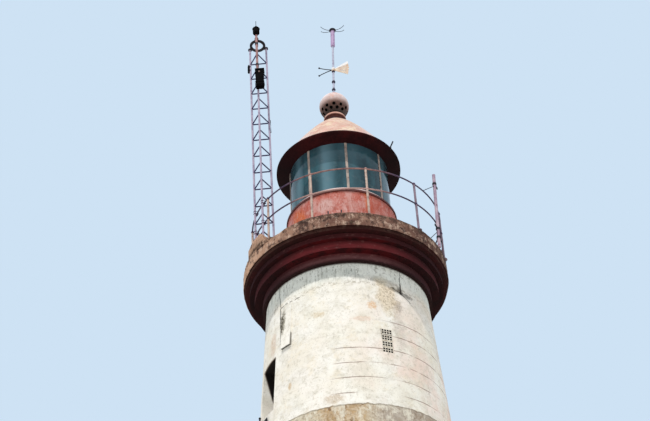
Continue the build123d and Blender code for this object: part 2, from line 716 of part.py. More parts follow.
# Weather vane: hub, ribbed tail and forked pointer, turning about the spindle
vane_centre = spindle_axis.position + spindle_rise * VANE_HEIGHT
vane_turn = math.radians(VANE_TURN)
vane_across = spindle_rise.cross(spindle_plane.x_dir)
vane_ahead = spindle_plane.x_dir * math.cos(vane_turn) - vane_across * math.sin(vane_turn)
vane_base = Plane(origin=vane_centre, x_dir=vane_ahead, z_dir=spindle_rise)
vane_side = Plane(origin=vane_centre, x_dir=vane_ahead, z_dir=vane_ahead.cross(spindle_rise))
with BuildPart(vane_base) as vane_hub:
    Cylinder(VANE_HUB_RADIUS, VANE_HUB_HEIGHT)
    Cylinder(SPINDLE_RADIUS + VANE_BORE_CLEARANCE, VANE_HUB_HEIGHT, mode=Mode.SUBTRACT)
save(vane_hub, "vane_hub")

with BuildPart() as vane_tail:
    with BuildSketch(vane_side):
        with BuildLine():
            Polyline(
                (0, VANE_PLATE),
                (TAIL_SHOULDER, TAIL_RISE),
                (TAIL_REACH, 0),
                (TAIL_SHOULDER, -TAIL_RISE),
                (0, -VANE_PLATE),
                close=True,
            )
        make_face()
        for slot in range(TAIL_SLOTS):
            turn = (slot - (TAIL_SLOTS - 1) / 2) * TAIL_SLOT_TURN
            with Locations(Location((0, 0), turn)):
                with Locations((TAIL_SLOT_PLACE, 0)):
                    SlotOverall(TAIL_SLOT_LENGTH, TAIL_SLOT_WIDTH, mode=Mode.SUBTRACT)
    extrude(amount=VANE_PLATE / 2, both=True)
    with BuildSketch(vane_base.offset(-VANE_HUB_HEIGHT)):
        Circle(VANE_HUB_RADIUS + SEAT_GAP)
    extrude(amount=2 * VANE_HUB_HEIGHT, mode=Mode.SUBTRACT)
save(vane_tail, "vane_tail")

with BuildPart() as vane_pointer:
    for drop in (ARM_DROP, -ARM_DROP):
        with BuildLine(vane_side) as arm_line:
            bend_drop = ARM_BEND_DROP * drop / ARM_DROP
            ThreePointArc((-VANE_HUB_RADIUS / 2, 0), (-ARM_BEND, -bend_drop), (-ARM_REACH, -drop))
        with BuildSketch(Plane(origin=arm_line.line @ 0, z_dir=arm_line.line % 0)):
            RegularPolygon(ARM_RADIUS, 8)
        sweep(path=arm_line.line)
        with Locations(Plane(origin=arm_line.line @ 1, z_dir=arm_line.line % 1)):
            Sphere(ARM_TIP_RADIUS)
    with BuildSketch(vane_base.offset(-VANE_HUB_HEIGHT)):
        Circle(VANE_HUB_RADIUS + SEAT_GAP)
    extrude(amount=2 * VANE_HUB_HEIGHT, mode=Mode.SUBTRACT)
save(vane_pointer, "vane_pointer")

# Lattice mast: three legs with a triangle of bars at each level, in two welded sections.
# Two legs stand close outside the rails and the third inside. The whole mast leans a little towards -X.
leg_line_radius = RAIL_RADIUS + RAIL_ROD_RADIUS + MAST_LEG_RADIUS + SEAT_GAP
half_turn = math.degrees(math.asin(MAST_SIDE / 2 / leg_line_radius))
near_leg = rail_spot(MAST_BEARING + half_turn, leg_line_radius)
far_leg = rail_spot(MAST_BEARING - half_turn, leg_line_radius)
inner_line_radius = math.sqrt(leg_line_radius**2 - (MAST_SIDE / 2) ** 2) - MAST_SIDE * math.sqrt(3) / 2
inner_leg = rail_spot(MAST_BEARING, inner_line_radius)
legs = (near_leg, inner_leg, far_leg)
mast_centre = (near_leg + inner_leg + far_leg) * (1 / 3)
mast_pivot = Vector(mast_centre.X, mast_centre.Y, footing_top)
mast_lean = Location(mast_pivot) * Location((0, 0, 0), (0, -MAST_LEAN, 0)) * Location(mast_pivot * -1)
mast_seat = Plane(
    origin=mast_pivot + Vector(0, 0, SEAT_GAP),
    z_dir=(math.sin(math.radians(MAST_LEAN)), 0, math.cos(math.radians(MAST_LEAN))),
)
section_joint = mast_top - (MAST_LEVELS - MAST_LOWER_LEVELS) * MAST_PITCH + MAST_PITCH / 2


def lean(piece):
    piece.part.location = mast_lean * piece.part.location


sections = (
    ("mast_lower", footing_top - MAST_SIDE, section_joint - MAST_JOINT_GAP),
    ("mast_upper", section_joint, mast_top),
)
level_heights = [mast_top - MAST_PITCH * (level + 1) for level in range(MAST_LEVELS)]
for name, bottom, top in sections:
    with BuildPart() as mast_section:
        for leg in legs:
            with Locations(Vector(leg.X, leg.Y, bottom)):
                Cylinder(MAST_LEG_RADIUS, top - bottom, align=(Align.CENTER, Align.CENTER, Align.MIN))
        for level in level_heights:
            if max(bottom, footing_top) < level < top:
                for corner, leg in enumerate(legs):
                    following = legs[(corner + 1) % len(legs)]
                    start = Vector(leg.X, leg.Y, level)
                    end = Vector(following.X, following.Y, level)
                    with BuildSketch(Plane(origin=start, z_dir=end - start)):
                        RegularPolygon(MAST_BAR_RADIUS, 6)
                    extrude(amount=MAST_SIDE)
        split(bisect_by=mast_seat, keep=Keep.TOP)
    lean(mast_section)
    save(mast_section, name)

# Mast head: a ring on three lugs over the legs, cut clear of the pipe
pipe_offset = MAST_LEG_RADIUS + PIPE_RADIUS + SEAT_GAP
pipe_spot = near_leg + around(pipe_offset, PIPE_BEARING)
with BuildPart() as mast_head:
    with BuildSketch(Plane.XY.offset(mast_top)):
        with Locations(mast_centre):
            Circle(HEAD_RING_RADIUS)
            Circle(HEAD_RING_RADIUS - HEAD_RING_WIDTH, mode=Mode.SUBTRACT)
        with Locations(*legs):
            Circle(LUG_RADIUS)
        with Locations(pipe_spot):
            Circle(PIPE_RADIUS + SEAT_GAP, mode=Mode.SUBTRACT)
    extrude(amount=HEAD_PLATE)
lean(mast_head)
save(mast_head, "mast_head")

# Pipe clamped to the near leg, carrying the beacon
pipe_top = mast_top + PIPE_RISE
with BuildPart() as mast_pipe:
    with Locations(Vector(pipe_spot.X, pipe_spot.Y, pipe_top)):
        Cylinder(PIPE_RADIUS, PIPE_LENGTH, align=(Align.CENTER, Align.CENTER, Align.MAX))
lean(mast_pipe)
save(mast_pipe, "mast_pipe")

with BuildPart() as pipe_clamps:
    for drop in PIPE_CLAMP_DROPS:
        with BuildSketch(Plane.XY.offset(mast_top - drop)):
            with Locations(pipe_spot):
                Circle(PIPE_RADIUS + CLAMP_WALL)
            with Locations(near_leg):
                Circle(MAST_LEG_RADIUS + CLAMP_WALL)
            with Locations(pipe_spot):
                Circle(PIPE_RADIUS + SEAT_GAP, mode=Mode.SUBTRACT)
            with Locations(near_leg):
                Circle(MAST_LEG_RADIUS + SEAT_GAP, mode=Mode.SUBTRACT)
        extrude(amount=CLAMP_HEIGHT)
lean(pipe_clamps)
save(pipe_clamps, "pipe_clamps")

# Beacon: socket, round housing, conical hood and spike
with BuildPart() as beacon:
    with BuildSketch(Plane.XZ):
        with BuildLine():
            base_z = pipe_top - BEACON_SOCKET
            body_z = pipe_top + SEAT_GAP
            hood_z = body_z + BEACON_HEIGHT
            Polyline(
                (PIPE_RADIUS + SEAT_GAP, base_z),
                (PIPE_RADIUS + CLAMP_WALL, base_z),
                (PIPE_RADIUS + CLAMP_WALL, body_z),
                (BEACON_RADIUS, body_z + CLAMP_WALL),
                (BEACON_RADIUS, hood_z),
                (BEACON_RADIUS + CLAMP_WALL, hood_z),
                (BEACON_SPIKE_RADIUS, hood_z + BEACON_HOOD_HEIGHT),
                (BEACON_SPIKE_RADIUS, hood_z + BEACON_HOOD_HEIGHT + BEACON_SPIKE),
                (0, hood_z + BEACON_HOOD_HEIGHT + BEACON_SPIKE),
                (0, body_z),
                (PIPE_RADIUS + SEAT_GAP, body_z),
                close=True,
            )
        make_face()
    revolve(axis=Axis.Z)
beacon.part.position = Vector(pipe_spot.X, pipe_spot.Y, 0)
lean(beacon)
save(beacon, "beacon")

# Equipment cabinet on the near leg
cabinet_back = near_leg + around(MAST_LEG_RADIUS + SEAT_GAP, PIPE_BEARING)
with BuildPart() as mast_cabinet:
    with BuildSketch(outward(PIPE_BEARING, 0, 0)):
        Rectangle(CABINET_WIDTH, CABINET_HEIGHT)
    extrude(amount=CABINET_DEPTH)
    fillet(mast_cabinet.edges().filter_by(Axis.Z), CABINET_ROUNDING)
cabinet_z = mast_top - CABINET_DROP - CABINET_HEIGHT / 2
mast_cabinet.part.position = Vector(cabinet_back.X + CABINET_SHIFT, cabinet_back.Y, cabinet_z)
lean(mast_cabinet)
save(mast_cabinet, "mast_cabinet")

# Small iron hook that stands on the eave, outside the roof's foot
hook_radius = (EAVE_RADIUS + ROOF_FOOT_RADIUS) / 2
with BuildPart() as eave_hook:
    with BuildLine(upright(HOOK_BEARING, (0, 0, eave_top))) as hook_line:
        FilletPolyline(
            (hook_radius, 0),
            (hook_radius, HOOK_SHANK),
            (hook_radius + HOOK_SHANK, HOOK_LENGTH),
            radius=HOOK_BEND_RADIUS,
        )
    with BuildSketch(Plane(origin=hook_line.line @ 0, z_dir=hook_line.line % 0)):
        RegularPolygon(HOOK_RADIUS, 8)
    sweep(path=hook_line.line)
save(eave_hook, "eave_hook")
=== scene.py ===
import bmesh
import bpy
from math import asin, atan2, cos, degrees, hypot, pi, radians, sin, sqrt, tan
from mathutils import Matrix, Vector, noise


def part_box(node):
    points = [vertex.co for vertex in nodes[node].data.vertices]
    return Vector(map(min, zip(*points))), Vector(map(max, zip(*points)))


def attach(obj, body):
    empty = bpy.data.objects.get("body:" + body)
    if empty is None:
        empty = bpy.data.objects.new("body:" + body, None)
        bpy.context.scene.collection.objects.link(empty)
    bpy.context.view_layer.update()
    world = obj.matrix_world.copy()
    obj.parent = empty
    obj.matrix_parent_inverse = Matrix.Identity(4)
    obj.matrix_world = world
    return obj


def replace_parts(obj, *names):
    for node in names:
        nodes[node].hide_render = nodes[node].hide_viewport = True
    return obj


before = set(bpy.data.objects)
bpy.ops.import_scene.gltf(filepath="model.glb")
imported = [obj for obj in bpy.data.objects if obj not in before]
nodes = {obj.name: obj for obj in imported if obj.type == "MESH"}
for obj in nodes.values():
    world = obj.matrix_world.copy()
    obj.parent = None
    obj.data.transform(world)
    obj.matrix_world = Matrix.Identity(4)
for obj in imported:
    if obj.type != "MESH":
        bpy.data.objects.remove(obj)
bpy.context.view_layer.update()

# Lengths are metres in the frame's own axes. Bearings are degrees round the tower: 0 faces -Y, 90 faces +X.
UP = Vector((0, 0, 1))
OUT_IN_FRONT = Vector((0, -1, 0))

# Camera, fitted to the rings of the tower in the photograph
IMAGE_WIDTH = 650
FOCAL_PIXELS = 1400
SENSOR = 36
CAMERA_PLACE = Vector((0, -18.5, 1.6))
CAMERA_PITCH = 40.72
CAMERA_YAW = -0.86
CAMERA_ROLL = -3.22

# Light and floor
SUN_BEARING = -14
SUN_ELEVATION = 64
SUN_STRENGTH = 2.6
SUN_SIZE = 1.2
SUN_TINT = (1.0, 0.975, 0.93)
FILL_BEARING = 150
FILL_ELEVATION = 35
FILL_STRENGTH = 0.7
FILL_SIZE = 20
SKY_TINT = (0.9, 0.95, 1.0)
SKY_STRENGTH = 0.55
LAMP_DISTANCE = 40
BACKDROP = (206, 226, 244)
FLOOR_TONES = ((214, 212, 206), (211.1, 209.2, 203.2))
FLOOR_SIZE = 400
FLOOR_DROP = 0.002

# Wall and cornice
WALL_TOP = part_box("upper_wall_front")[1].z
WALL_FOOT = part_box("lower_wall_front")[0].z
WALL_TOP_RADIUS = 1.33
WALL_TAPER = 0.063
COURSE_STEPS = (0.15, 0.15)
STRIP_BEARINGS = (-47, -39)
STRIP_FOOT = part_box("wall_strip")[0].z
STRIP_SWELL = 0.03
WINDOW_SILL = 12.96
WINDOW_TOP = WINDOW_SILL + 0.97
SUN_REACH = 0.31
VENT_BEARING = 23.3
VENT_WIDTH = 0.176
VENT_BLOCK = 0.098
VENT_PITCH = 0.113

# Gallery slab, with the hole in its middle and the drip step under its rim, and the mast's footing on it
SLAB_LOW, SLAB_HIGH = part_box("gallery_slab")
SLAB_HOLE_RADIUS = 0.4
SLAB_UNDER_RING = 1.2
SLAB_TOP_RING = 1.58
SLAB_WORN_FROM = 1.6
SLAB_STEPS = 320
SLAB_WEAR = 0.011
DRIP_TOP = SLAB_LOW.z + 0.06
DRIP_INSET = 0.026
EDGE_LOSS = 0.06
SLAB_BOLT_BEARINGS = (-7.2, 0.2)
SLAB_BOLT_REACH = 1.64
FOOTING_LOW, FOOTING_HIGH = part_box("mast_footing")
FOOTING_INSIDE = -1.095
FOOTING_FRONT = -1.2
FOOTING_BACK = -0.43
FOOTING_SUNK = 0.09
FOOTING_REACH = 1.7
FOOTING_SLOPE = radians(51)

# Railing and mast
RAIL_CENTRE = Vector((0.070, 0, 0))
RAIL_RADIUS = 1.613
RAIL_HEIGHTS = (0.565, 1.0)
RAIL_ROD = 0.0125
POST_COUNT = 11
FIRST_POST_BEARING = -19.3
POST_RADIUS = 0.019
MAST_FOOT = FOOTING_HIGH.z
MAST_BEARING = -61.4
MAST_SIDE = 0.303
MAST_LEG_RADIUS = 0.018
MAST_SLANT = tan(radians(0.74))
CLAMP_ROD = 0.004
CLAMP_BACK = MAST_LEG_RADIUS + 2 * RAIL_ROD
FITTING_HEIGHTS = (20.415, 20.64)
ROD_HEIGHTS = (18.85, 19.15)
CABINET_LOW, CABINET_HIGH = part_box("mast_cabinet")

# Lantern, ball, spindle and vane
DRUM_LOW, DRUM_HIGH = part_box("lantern_drum")
DRUM_RADIUS = 0.94
HATCH_BEARING = 180
HATCH_HALF_TURN = 16
HATCH_HEIGHTS = (16.15, 16.99)
HATCH_BORDER = 0.045
RIVET = ((0.008, 0), (0.007, 0.004), (0.003, 0.006))
RIVETS_ROUND = 72
SEAM_BEARINGS = (90, 150, 210, 270)
PANES_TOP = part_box("lantern_panes")[1].z
BALL_RADIUS = 0.275
SPINDLE_LEAN = radians(1.8)
TUBE_START = 1.385
SPINDLE_DARK_HEIGHTS = (0.01, 0.19, 0.395, 0.68)
VANE_TURN = radians(8.5)
TAIL_RIB_TURN = radians(12.5)

# Entrance door
DOOR_LOW, DOOR_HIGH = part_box("entrance_door")
DOOR_FACE = DOOR_LOW.y
BOARD_COUNT = 6
HINGE_HEIGHTS = (0.32, 1.02, 1.72)

# Marks on the wall. A stain is bearing, height, reach to each side, reach up and down, amount and tint.
COURSE_PITCH = 0.275
COURSE_LINE = 14.135
BELT_TOP = 12.56
BELT_HEIGHT = 0.9
STAINS = (
    (-20.1, 14.32, 0.09, 0.07, 0.5, (204, 176, 130)),
    (-16.5, 14.3, 0.05, 0.06, 0.45, (204, 176, 130)),
    (16.2, 14.42, 0.08, 0.09, 0.85, (222, 176, 126)),
    (8.5, 14.14, 0.16, 0.06, 0.5, (228, 190, 168)),
    (-39.5, 13.17, 0.04, 0.07, 0.7, (204, 166, 110)),
    (33, 14.06, 0.1, 0.6, 0.4, (182, 168, 162)),
    (-47.3, 14.48, 0.08, 0.3, 1.0, (112, 104, 84)),
    (-47.8, 14.45, 0.05, 0.2, 1.0, (66, 60, 46)),
    (-58, 14.2, 0.1, 0.26, 0.5, (208, 172, 150)),
    (38, 14.85, 0.07, 0.08, 1.0, (74, 68, 62)),
    (43, 14.79, 0.14, 0.05, 0.9, (100, 94, 86)),
    (33.5, 14.83, 0.1, 0.05, 0.8, (118, 108, 96)),
    (29, 14.96, 0.2, 0.06, 0.8, (150, 134, 122)),
    (20, 14.97, 0.14, 0.07, 0.8, (140, 118, 100)),
    (35, 14.5, 0.08, 0.12, 0.7, (150, 136, 126)),
    (-10.5, 12.69, 0.14, 0.1, 0.6, (184, 158, 126)),
    (-13, 15.1, 0.14, 0.1, 0.5, (120, 116, 104)),
    (-1, 15.12, 0.3, 0.1, 0.4, (150, 146, 134)),
    (3, 15.08, 0.12, 0.1, 0.6, (120, 116, 108)),
    (8, 14.99, 0.12, 0.06, 0.6, (130, 122, 110)),
)
LICHEN_HIGH = (24, 14.93, 0.13, 0.16)
LICHEN_LOW = (27, 14.61, 0.2, 0.34)

# A crack is its upper end's bearing and height, its lower end's, and its half width at each end
CRACKS = (
    (40.2, 15.268, 38.6, 14.95, 0.005, 0.01),
    (38.6, 14.97, 38.3, 14.78, 0.016, 0.024),
    (32.6, 14.86, 38.2, 14.79, 0.012, 0.03),
    (38.4, 14.81, 45.6, 14.68, 0.024, 0.01),
    (-52.7, 15.26, -50.3, 14.78, 0.007, 0.01),
    (-50.3, 14.78, -49.3, 14.09, 0.013, 0.006),
)

# The painted shadow under the ragged level edge of a thicker coat on the left: its height, its bearings and
# its half width
LEDGE = (14.8, -50, -31, 0.014)

# Marks on the drum, written as the wall's stains are
DRUM_STAINS = (
    (-49, 16.86, 0.3, 0.22, 1.0, (210, 108, 64)),
    (-38, 16.98, 0.2, 0.14, 0.6, (184, 92, 80)),
    (-16, 16.84, 0.26, 0.16, 0.8, (214, 176, 170)),
    (0, 17.0, 0.12, 0.2, 0.6, (186, 90, 72)),
    (12, 16.86, 0.14, 0.2, 0.5, (206, 154, 146)),
    (16, 17.02, 0.14, 0.14, 0.7, (194, 88, 68)),
    (27.5, 16.98, 0.06, 0.24, 1.0, (208, 108, 70)),
    (33, 16.94, 0.05, 0.2, 0.8, (190, 84, 58)),
    (40, 16.94, 0.14, 0.2, 0.6, (186, 96, 78)),
)

# Painted reflections, light upright bands down the glass: bearing, reach to each side in degrees, and amount
GLASS_REFLECTIONS = ((-13, 14, 0.7), (-16, 5, 0.4), (-52, 9, 0.45), (14, 20, 0.25), (62, 7, 0.3))

# Painted irons: coat, its darker tone, rust, how rusted, roughness, the patches' scale and the black's gloss
IRONS = {
    "pole_iron": ((200, 180, 192), (162, 138, 160), (118, 72, 74), 0.45, 0.7, 14),
    "pipe_iron": ((178, 136, 134), (140, 100, 100), (104, 60, 56), 0.4, 0.7, 20),
    "black_iron": ((16, 14, 16), (9, 8, 10), (40, 24, 24), 0.25, 0.9, 16, 0.04),
    "dark_iron": ((34, 28, 36), (18, 15, 20), (74, 38, 36), 0.3, 0.7, 20),
    "sill_coat": ((232, 212, 210), (214, 186, 184), (160, 88, 74), 0.3, 0.6, 12),
    "mullion_coat": ((180, 164, 154), (134, 118, 112), (120, 66, 54), 0.55, 0.6, 18),
    "hinge_iron": ((48, 40, 40), (30, 26, 28), (92, 52, 38), 0.5, 0.6, 30),
}


def linear(value):
    """One sRGB value of 0 to 255 as a linear one."""
    share = value / 255
    return share / 12.92 if share <= 0.04045 else ((share + 0.055) / 1.055) ** 2.4


def paint(red, green, blue):
    return (linear(red), linear(green), linear(blue), 1)


def around(radius, bearing, z=0):
    angle = radians(bearing)
    return Vector((radius * sin(angle), -radius * cos(angle), z))


def mast_legs():
    """The three legs' places at the mast's foot: two stand just outside the rails and the third inside."""
    reach = RAIL_RADIUS + RAIL_ROD + MAST_LEG_RADIUS
    half_turn = asin(MAST_SIDE / 2 / reach)
    inner_reach = reach * cos(half_turn) - MAST_SIDE * sqrt(3) / 2
    turn = degrees(half_turn)
    places = ((reach, turn), (reach, -turn), (inner_reach, 0))
    return [around(radius, MAST_BEARING + aside) + RAIL_CENTRE for radius, aside in places]


MAST_LEGS = mast_legs()


class Value:
    """Something that a material's nodes work out. Arithmetic with it adds nodes to its shader."""

    def __init__(self, shader, socket):
        self.shader = shader
        self.socket = socket

    def __add__(self, other):
        return self.shader.math("ADD", self, other)

    def __sub__(self, other):
        return self.shader.math("SUBTRACT", self, other)

    def __rsub__(self, other):
        return self.shader.math("SUBTRACT", other, self)

    def __mul__(self, other):
        return self.shader.math("MULTIPLY", self, other)

    def __truediv__(self, other):
        return self.shader.math("DIVIDE", self, other)

    def __abs__(self):
        return self.shader.math("ABSOLUTE", self)


class Shader:
    """The other methods return a Value. A colour is such a Value or three sRGB values."""

    def __init__(self, name):
        self.material = bpy.data.materials.new(name)
        self.material.use_nodes = True
        self.tree = self.material.node_tree
        self.surface = self.tree.nodes["Principled BSDF"]
        self.place = self.value("ShaderNodeTexCoord", {}, "Object")
        parts = self.add("ShaderNodeSeparateXYZ", {0: self.place}).outputs
        self.x, self.y, self.z = (Value(self, part) for part in parts)
        normal = self.value("ShaderNodeNewGeometry", {}, "Normal")
        self.facing_up = self.value("ShaderNodeSeparateXYZ", {0: normal}, 2)
        self.bearing = self.math("ARCTAN2", self.x, self.y * -1.0)

    def feed(self, socket, value):
        """Links a node's input to what another node works out, or sets its own value."""
        if isinstance(value, Value):
            self.tree.links.new(value.socket, socket)
        else:
            socket.default_value = value

    def add(self, kind, inputs, **settings):
        node = self.tree.nodes.new(kind)
        for key, value in settings.items():
            setattr(node, key, value)
        for key, value in inputs.items():
            self.feed(node.inputs[key], value)
        return node

    def value(self, kind, inputs, output=0, **settings):
        """Adds a node and returns what it works out."""
        return Value(self, self.add(kind, inputs, **settings).outputs[output])

    def math(self, operation, first, second=0.0):
        return self.value("ShaderNodeMath", {0: first, 1: second}, operation=operation)

    def distance(self, across, along):
        return self.math("SQRT", across * across + along * along)

    def stretched(self, tall, offset=(0, 0, 0), wide=1):
        """The place, scaled by tall in height and by wide across: a small scale draws the pattern out."""
        inputs = {"Vector": self.place, "Scale": (wide, wide, tall), "Location": offset}
        return self.value("ShaderNodeMapping", inputs)

    def polar(self, across, along, offset=0.0):
        """The place on a round wall of radius across, its height times along. No seam shows behind."""
        wide = self.math("SINE", self.bearing) * across
        deep = self.math("COSINE", self.bearing) * across
        tall = self.z * along + offset
        return self.value("ShaderNodeCombineXYZ", {0: wide, 1: deep, 2: tall})

    def noise(self, scale, detail=3.0, roughness=0.55, distortion=0.0, at=None):
        inputs = {"Vector": at or self.place, "Scale": scale, "Detail": detail}
        inputs.update({"Roughness": roughness, "Distortion": distortion})
        return self.value("ShaderNodeTexNoise", inputs)

    def wander(self, reach, *pattern, **placing):
        """A noise that runs to both sides of 0, over a total of reach."""
        return (self.noise(*pattern, **placing) - 0.5) * reach

    def between(self, value, low, high, out_low=0.0, out_high=1.0):
        """out_low below low, out_high above high, and a smooth step between."""
        inputs = {"Value": value, "From Min": low, "From Max": high, "To Min": out_low, "To Max": out_high}
        return self.value("ShaderNodeMapRange", inputs, interpolation_type="SMOOTHSTEP")

    def below(self, value, low, high):
        """1 below low, 0 above high, and a smooth step between."""
        return self.between(value, low, high, 1.0, 0.0)

    def band(self, value, start, end, soft):
        """1 from start to end and 0 beyond them, with a soft step at each."""
        return self.between(value, start - soft, start) * self.below(value, end, end + soft)

    def turned(self, start, end, out_low=0.0, out_high=1.0):
        """A smooth step between two bearings."""
        return self.between(self.bearing, radians(start), radians(end), out_low, out_high)

    def to_the_side(self, start, end):
        """0 in front and 1 at the sides, past the same bearings on the left and on the right."""
        return self.between(abs(self.bearing), radians(start), radians(end))

    def one_side(self, start, end, out_low=0.0, out_high=1.0):
        """A smooth step between two bearings, faded out at the back so that no seam shows there."""
        in_front = 1.0 - self.to_the_side(100, 165)
        return self.turned(start, end, out_low, out_high) * in_front

    def patches(self, low, high, *pattern, **placing):
        """Where a noise is above high: 1 there, 0 where it is below low, and a smooth step between."""
        return self.between(self.noise(*pattern, **placing), low, high)

    def spot(self, bearing, height, wide, tall, ragged, scale):
        """1 within a ragged oval and 0 outside it. It is wide and tall to each side, in metres at the
        wall's top radius."""
        across = (self.bearing - radians(bearing)) * (WALL_TOP_RADIUS / wide)
        along = (self.z - height) * (1 / tall)
        away = self.distance(across, along) + self.wander(ragged, scale, 5, 0.65)
        return self.below(away, 0.5, 1.15)

    def mix(self, amount, first, second):
        """The first colour where amount is 0, and the second where it is 1."""
        node = self.add("ShaderNodeMix", {0: amount}, data_type="RGBA")
        for socket, colour in ((node.inputs[6], first), (node.inputs[7], second)):
            self.feed(socket, paint(*colour) if isinstance(colour, tuple) else colour)
        return Value(self, node.outputs[2])

    def mottled(self, first, second, scale, detail=4, low=0.35, high=0.65, roughness=0.55):
        """Two tones in patches."""
        return self.mix(self.patches(low, high, scale, detail, roughness), first, second)

    def coats(self, colour, *layers):
        """The colour under layers of paint or dirt, each a tint, where it lies and how much it covers."""
        for tint, where, amount in layers:
            colour = self.mix(where * amount, colour, tint)
        return colour

    def finish(self, colour, roughness, height=None, bump=0.3, depth=0.002, gloss=0.3):
        self.feed(self.surface.inputs["Base Color"], colour)
        self.feed(self.surface.inputs["Roughness"], roughness)
        self.surface.inputs["Specular IOR Level"].default_value = gloss
        if height is not None:
            inputs = {"Height": height, "Strength": bump, "Distance": depth}
            self.feed(self.surface.inputs["Normal"], self.value("ShaderNodeBump", inputs))
        return self.material


def blotches(s):
    """Limewash with pink, grey, yellow and brown patches: returns the grey clouds and the whole colour."""
    pink_side = s.between(s.x, -0.2, 1.0, 0.15, 1.0) * s.between(s.z, 13.6, 14.8, 1.0, 0.35)
    pink_side *= s.between(s.z, 11.2, 12.4, 0.45, 1.0)
    pink = s.patches(0.4, 0.62, 1.7, 4, at=s.stretched(0.7, (3, 1, 0))) * pink_side
    clouds = s.patches(0.49, 0.62, 4.5, 8, 0.78, 0.3)
    yellow = s.patches(0.52, 0.66, 3.4, 7, 0.75, at=s.stretched(1, (9, 4, 2)))
    stains = s.patches(0.52, 0.62, 12, 8, 0.8, 0.2)
    grime = s.patches(0.57, 0.66, 7, 8, 0.82, 0.2, s.stretched(0.45, (6, 2, 5)))
    specks = s.patches(0.58, 0.66, 40, 5, 0.75)
    colour = s.coats(
        s.mottled((252, 250, 244), (244, 240, 228), 2.2, 3, high=0.7),
        ((240, 212, 199), pink, 0.75),
        ((226, 220, 206), clouds, 0.45),
        ((234, 220, 192), yellow, 0.4),
        ((200, 194, 178), stains, 0.5),
        ((168, 160, 144), grime, 0.5),
        ((152, 144, 130), specks, 0.55),
    )
    return clouds, colour


def stained(s, colour):
    """The wall's listed stains and the lichen near its top."""
    soaked = s.between(s.noise(34, 6, 0.8), 0.34, 0.6, 0.2, 1.0)
    for *oval, amount, tint in STAINS:
        colour = s.coats(colour, (tint, s.spot(*oval, 1.7, 16.0) * soaked, amount))
    growth = s.math("MAXIMUM", s.spot(*LICHEN_LOW, 1.2, 9.0), s.spot(*LICHEN_HIGH, 1.2, 9.0))
    lichen = growth * s.patches(0.46, 0.6, 30, 8, 0.85)
    return s.coats(colour, ((226, 200, 152), growth, 0.42), ((136, 118, 90), lichen, 0.75))


def soot_and_shade_top(s, colour):
    """The stretch under the cornice that lies in the gallery's shadow: a pale cool green tint there is
    painted shade colour, with soot drips and runs over it, a dark edge, and painted shade as a dark line at
    the joint above it.
    """
    height = s.z + s.noise(6, 5, 0.65) * 0.2
    shade_band = s.between(height, WALL_TOP - 0.34, WALL_TOP - 0.1)
    soot = s.patches(0.46, 0.58, 24, 8, 0.85)
    drips = s.patches(0.46, 0.62, 5.0, 6, 0.75, at=s.polar(7, 0.9)) * soot
    runs = s.patches(0.56, 0.64, 6.0, 5, 0.7, at=s.polar(6, 0.25, 3.0)) * shade_band
    shade_edge = s.band(height, WALL_TOP - 0.3, WALL_TOP - 0.3, 0.06) * soot
    # Painted shade: a dark line in the crease under the cornice.
    joint = s.between(s.z, WALL_TOP - 0.03, WALL_TOP - 0.008)
    return s.coats(
        colour,
        # Painted shade colour: a cool green tint over the band in the gallery's shadow.
        ((232, 240, 236), shade_band, 0.6),
        ((112, 110, 100), drips, shade_band * 0.85),
        ((140, 142, 134), runs, 0.45),
        ((150, 138, 116), shade_edge, 0.6),
        ((58, 44, 42), joint, 0.7),
    )


def scored_courses(s):
    """Thin level lines, scored into the render in imitation of stone courses and broken here and there."""
    level = s.z + s.noise(3.0) * 0.03 - (COURSE_LINE + 0.015)
    line = s.below(s.math("PINGPONG", level, COURSE_PITCH / 2), 0.004, 0.011)
    reach = s.below(s.z, COURSE_LINE + 0.02, COURSE_LINE + 0.1)
    broken = s.patches(0.36, 0.56, 2.6, 4, at=s.stretched(0.6, (5, 5, 5)))
    start = s.between(s.z, COURSE_LINE - 0.45, COURSE_LINE - 0.35, radians(-16), radians(18))
    right_side = s.between(s.bearing - start, 0.0, radians(14), 0.12, 1.0)
    right_side *= s.turned(115, 165, 1.0, 0.12)
    return line * reach * broken * right_side


def crack_line(s, high_bearing, high, low_bearing, low, high_width, low_width):
    """A wandering crack from its upper end to its lower end."""
    share = s.below(s.z, low, high)
    course = share * radians(low_bearing - high_bearing) + radians(high_bearing)
    wander = s.wander(0.05, 9, 5, 0.7, at=s.stretched(1, wide=0.3))
    off = abs(s.bearing + wander - course) * WALL_TOP_RADIUS
    width = share * (low_width - high_width) + high_width
    line = s.below(off / width, 0.5, 1.1)
    return line * s.band(s.z, low, high, 0.02)


def ledge_line(s, height, start, end, half):
    """A level, ragged line with gaps, from one bearing to the other."""
    off = abs(s.z - height + s.wander(0.09, 7, 5, 0.7))
    broken = s.patches(0.4, 0.52, 15, 4, 0.6)
    within = s.band(s.bearing, radians(start), radians(end), radians(2))
    return s.below(off, 0.4 * half, 1.2 * half) * broken * within


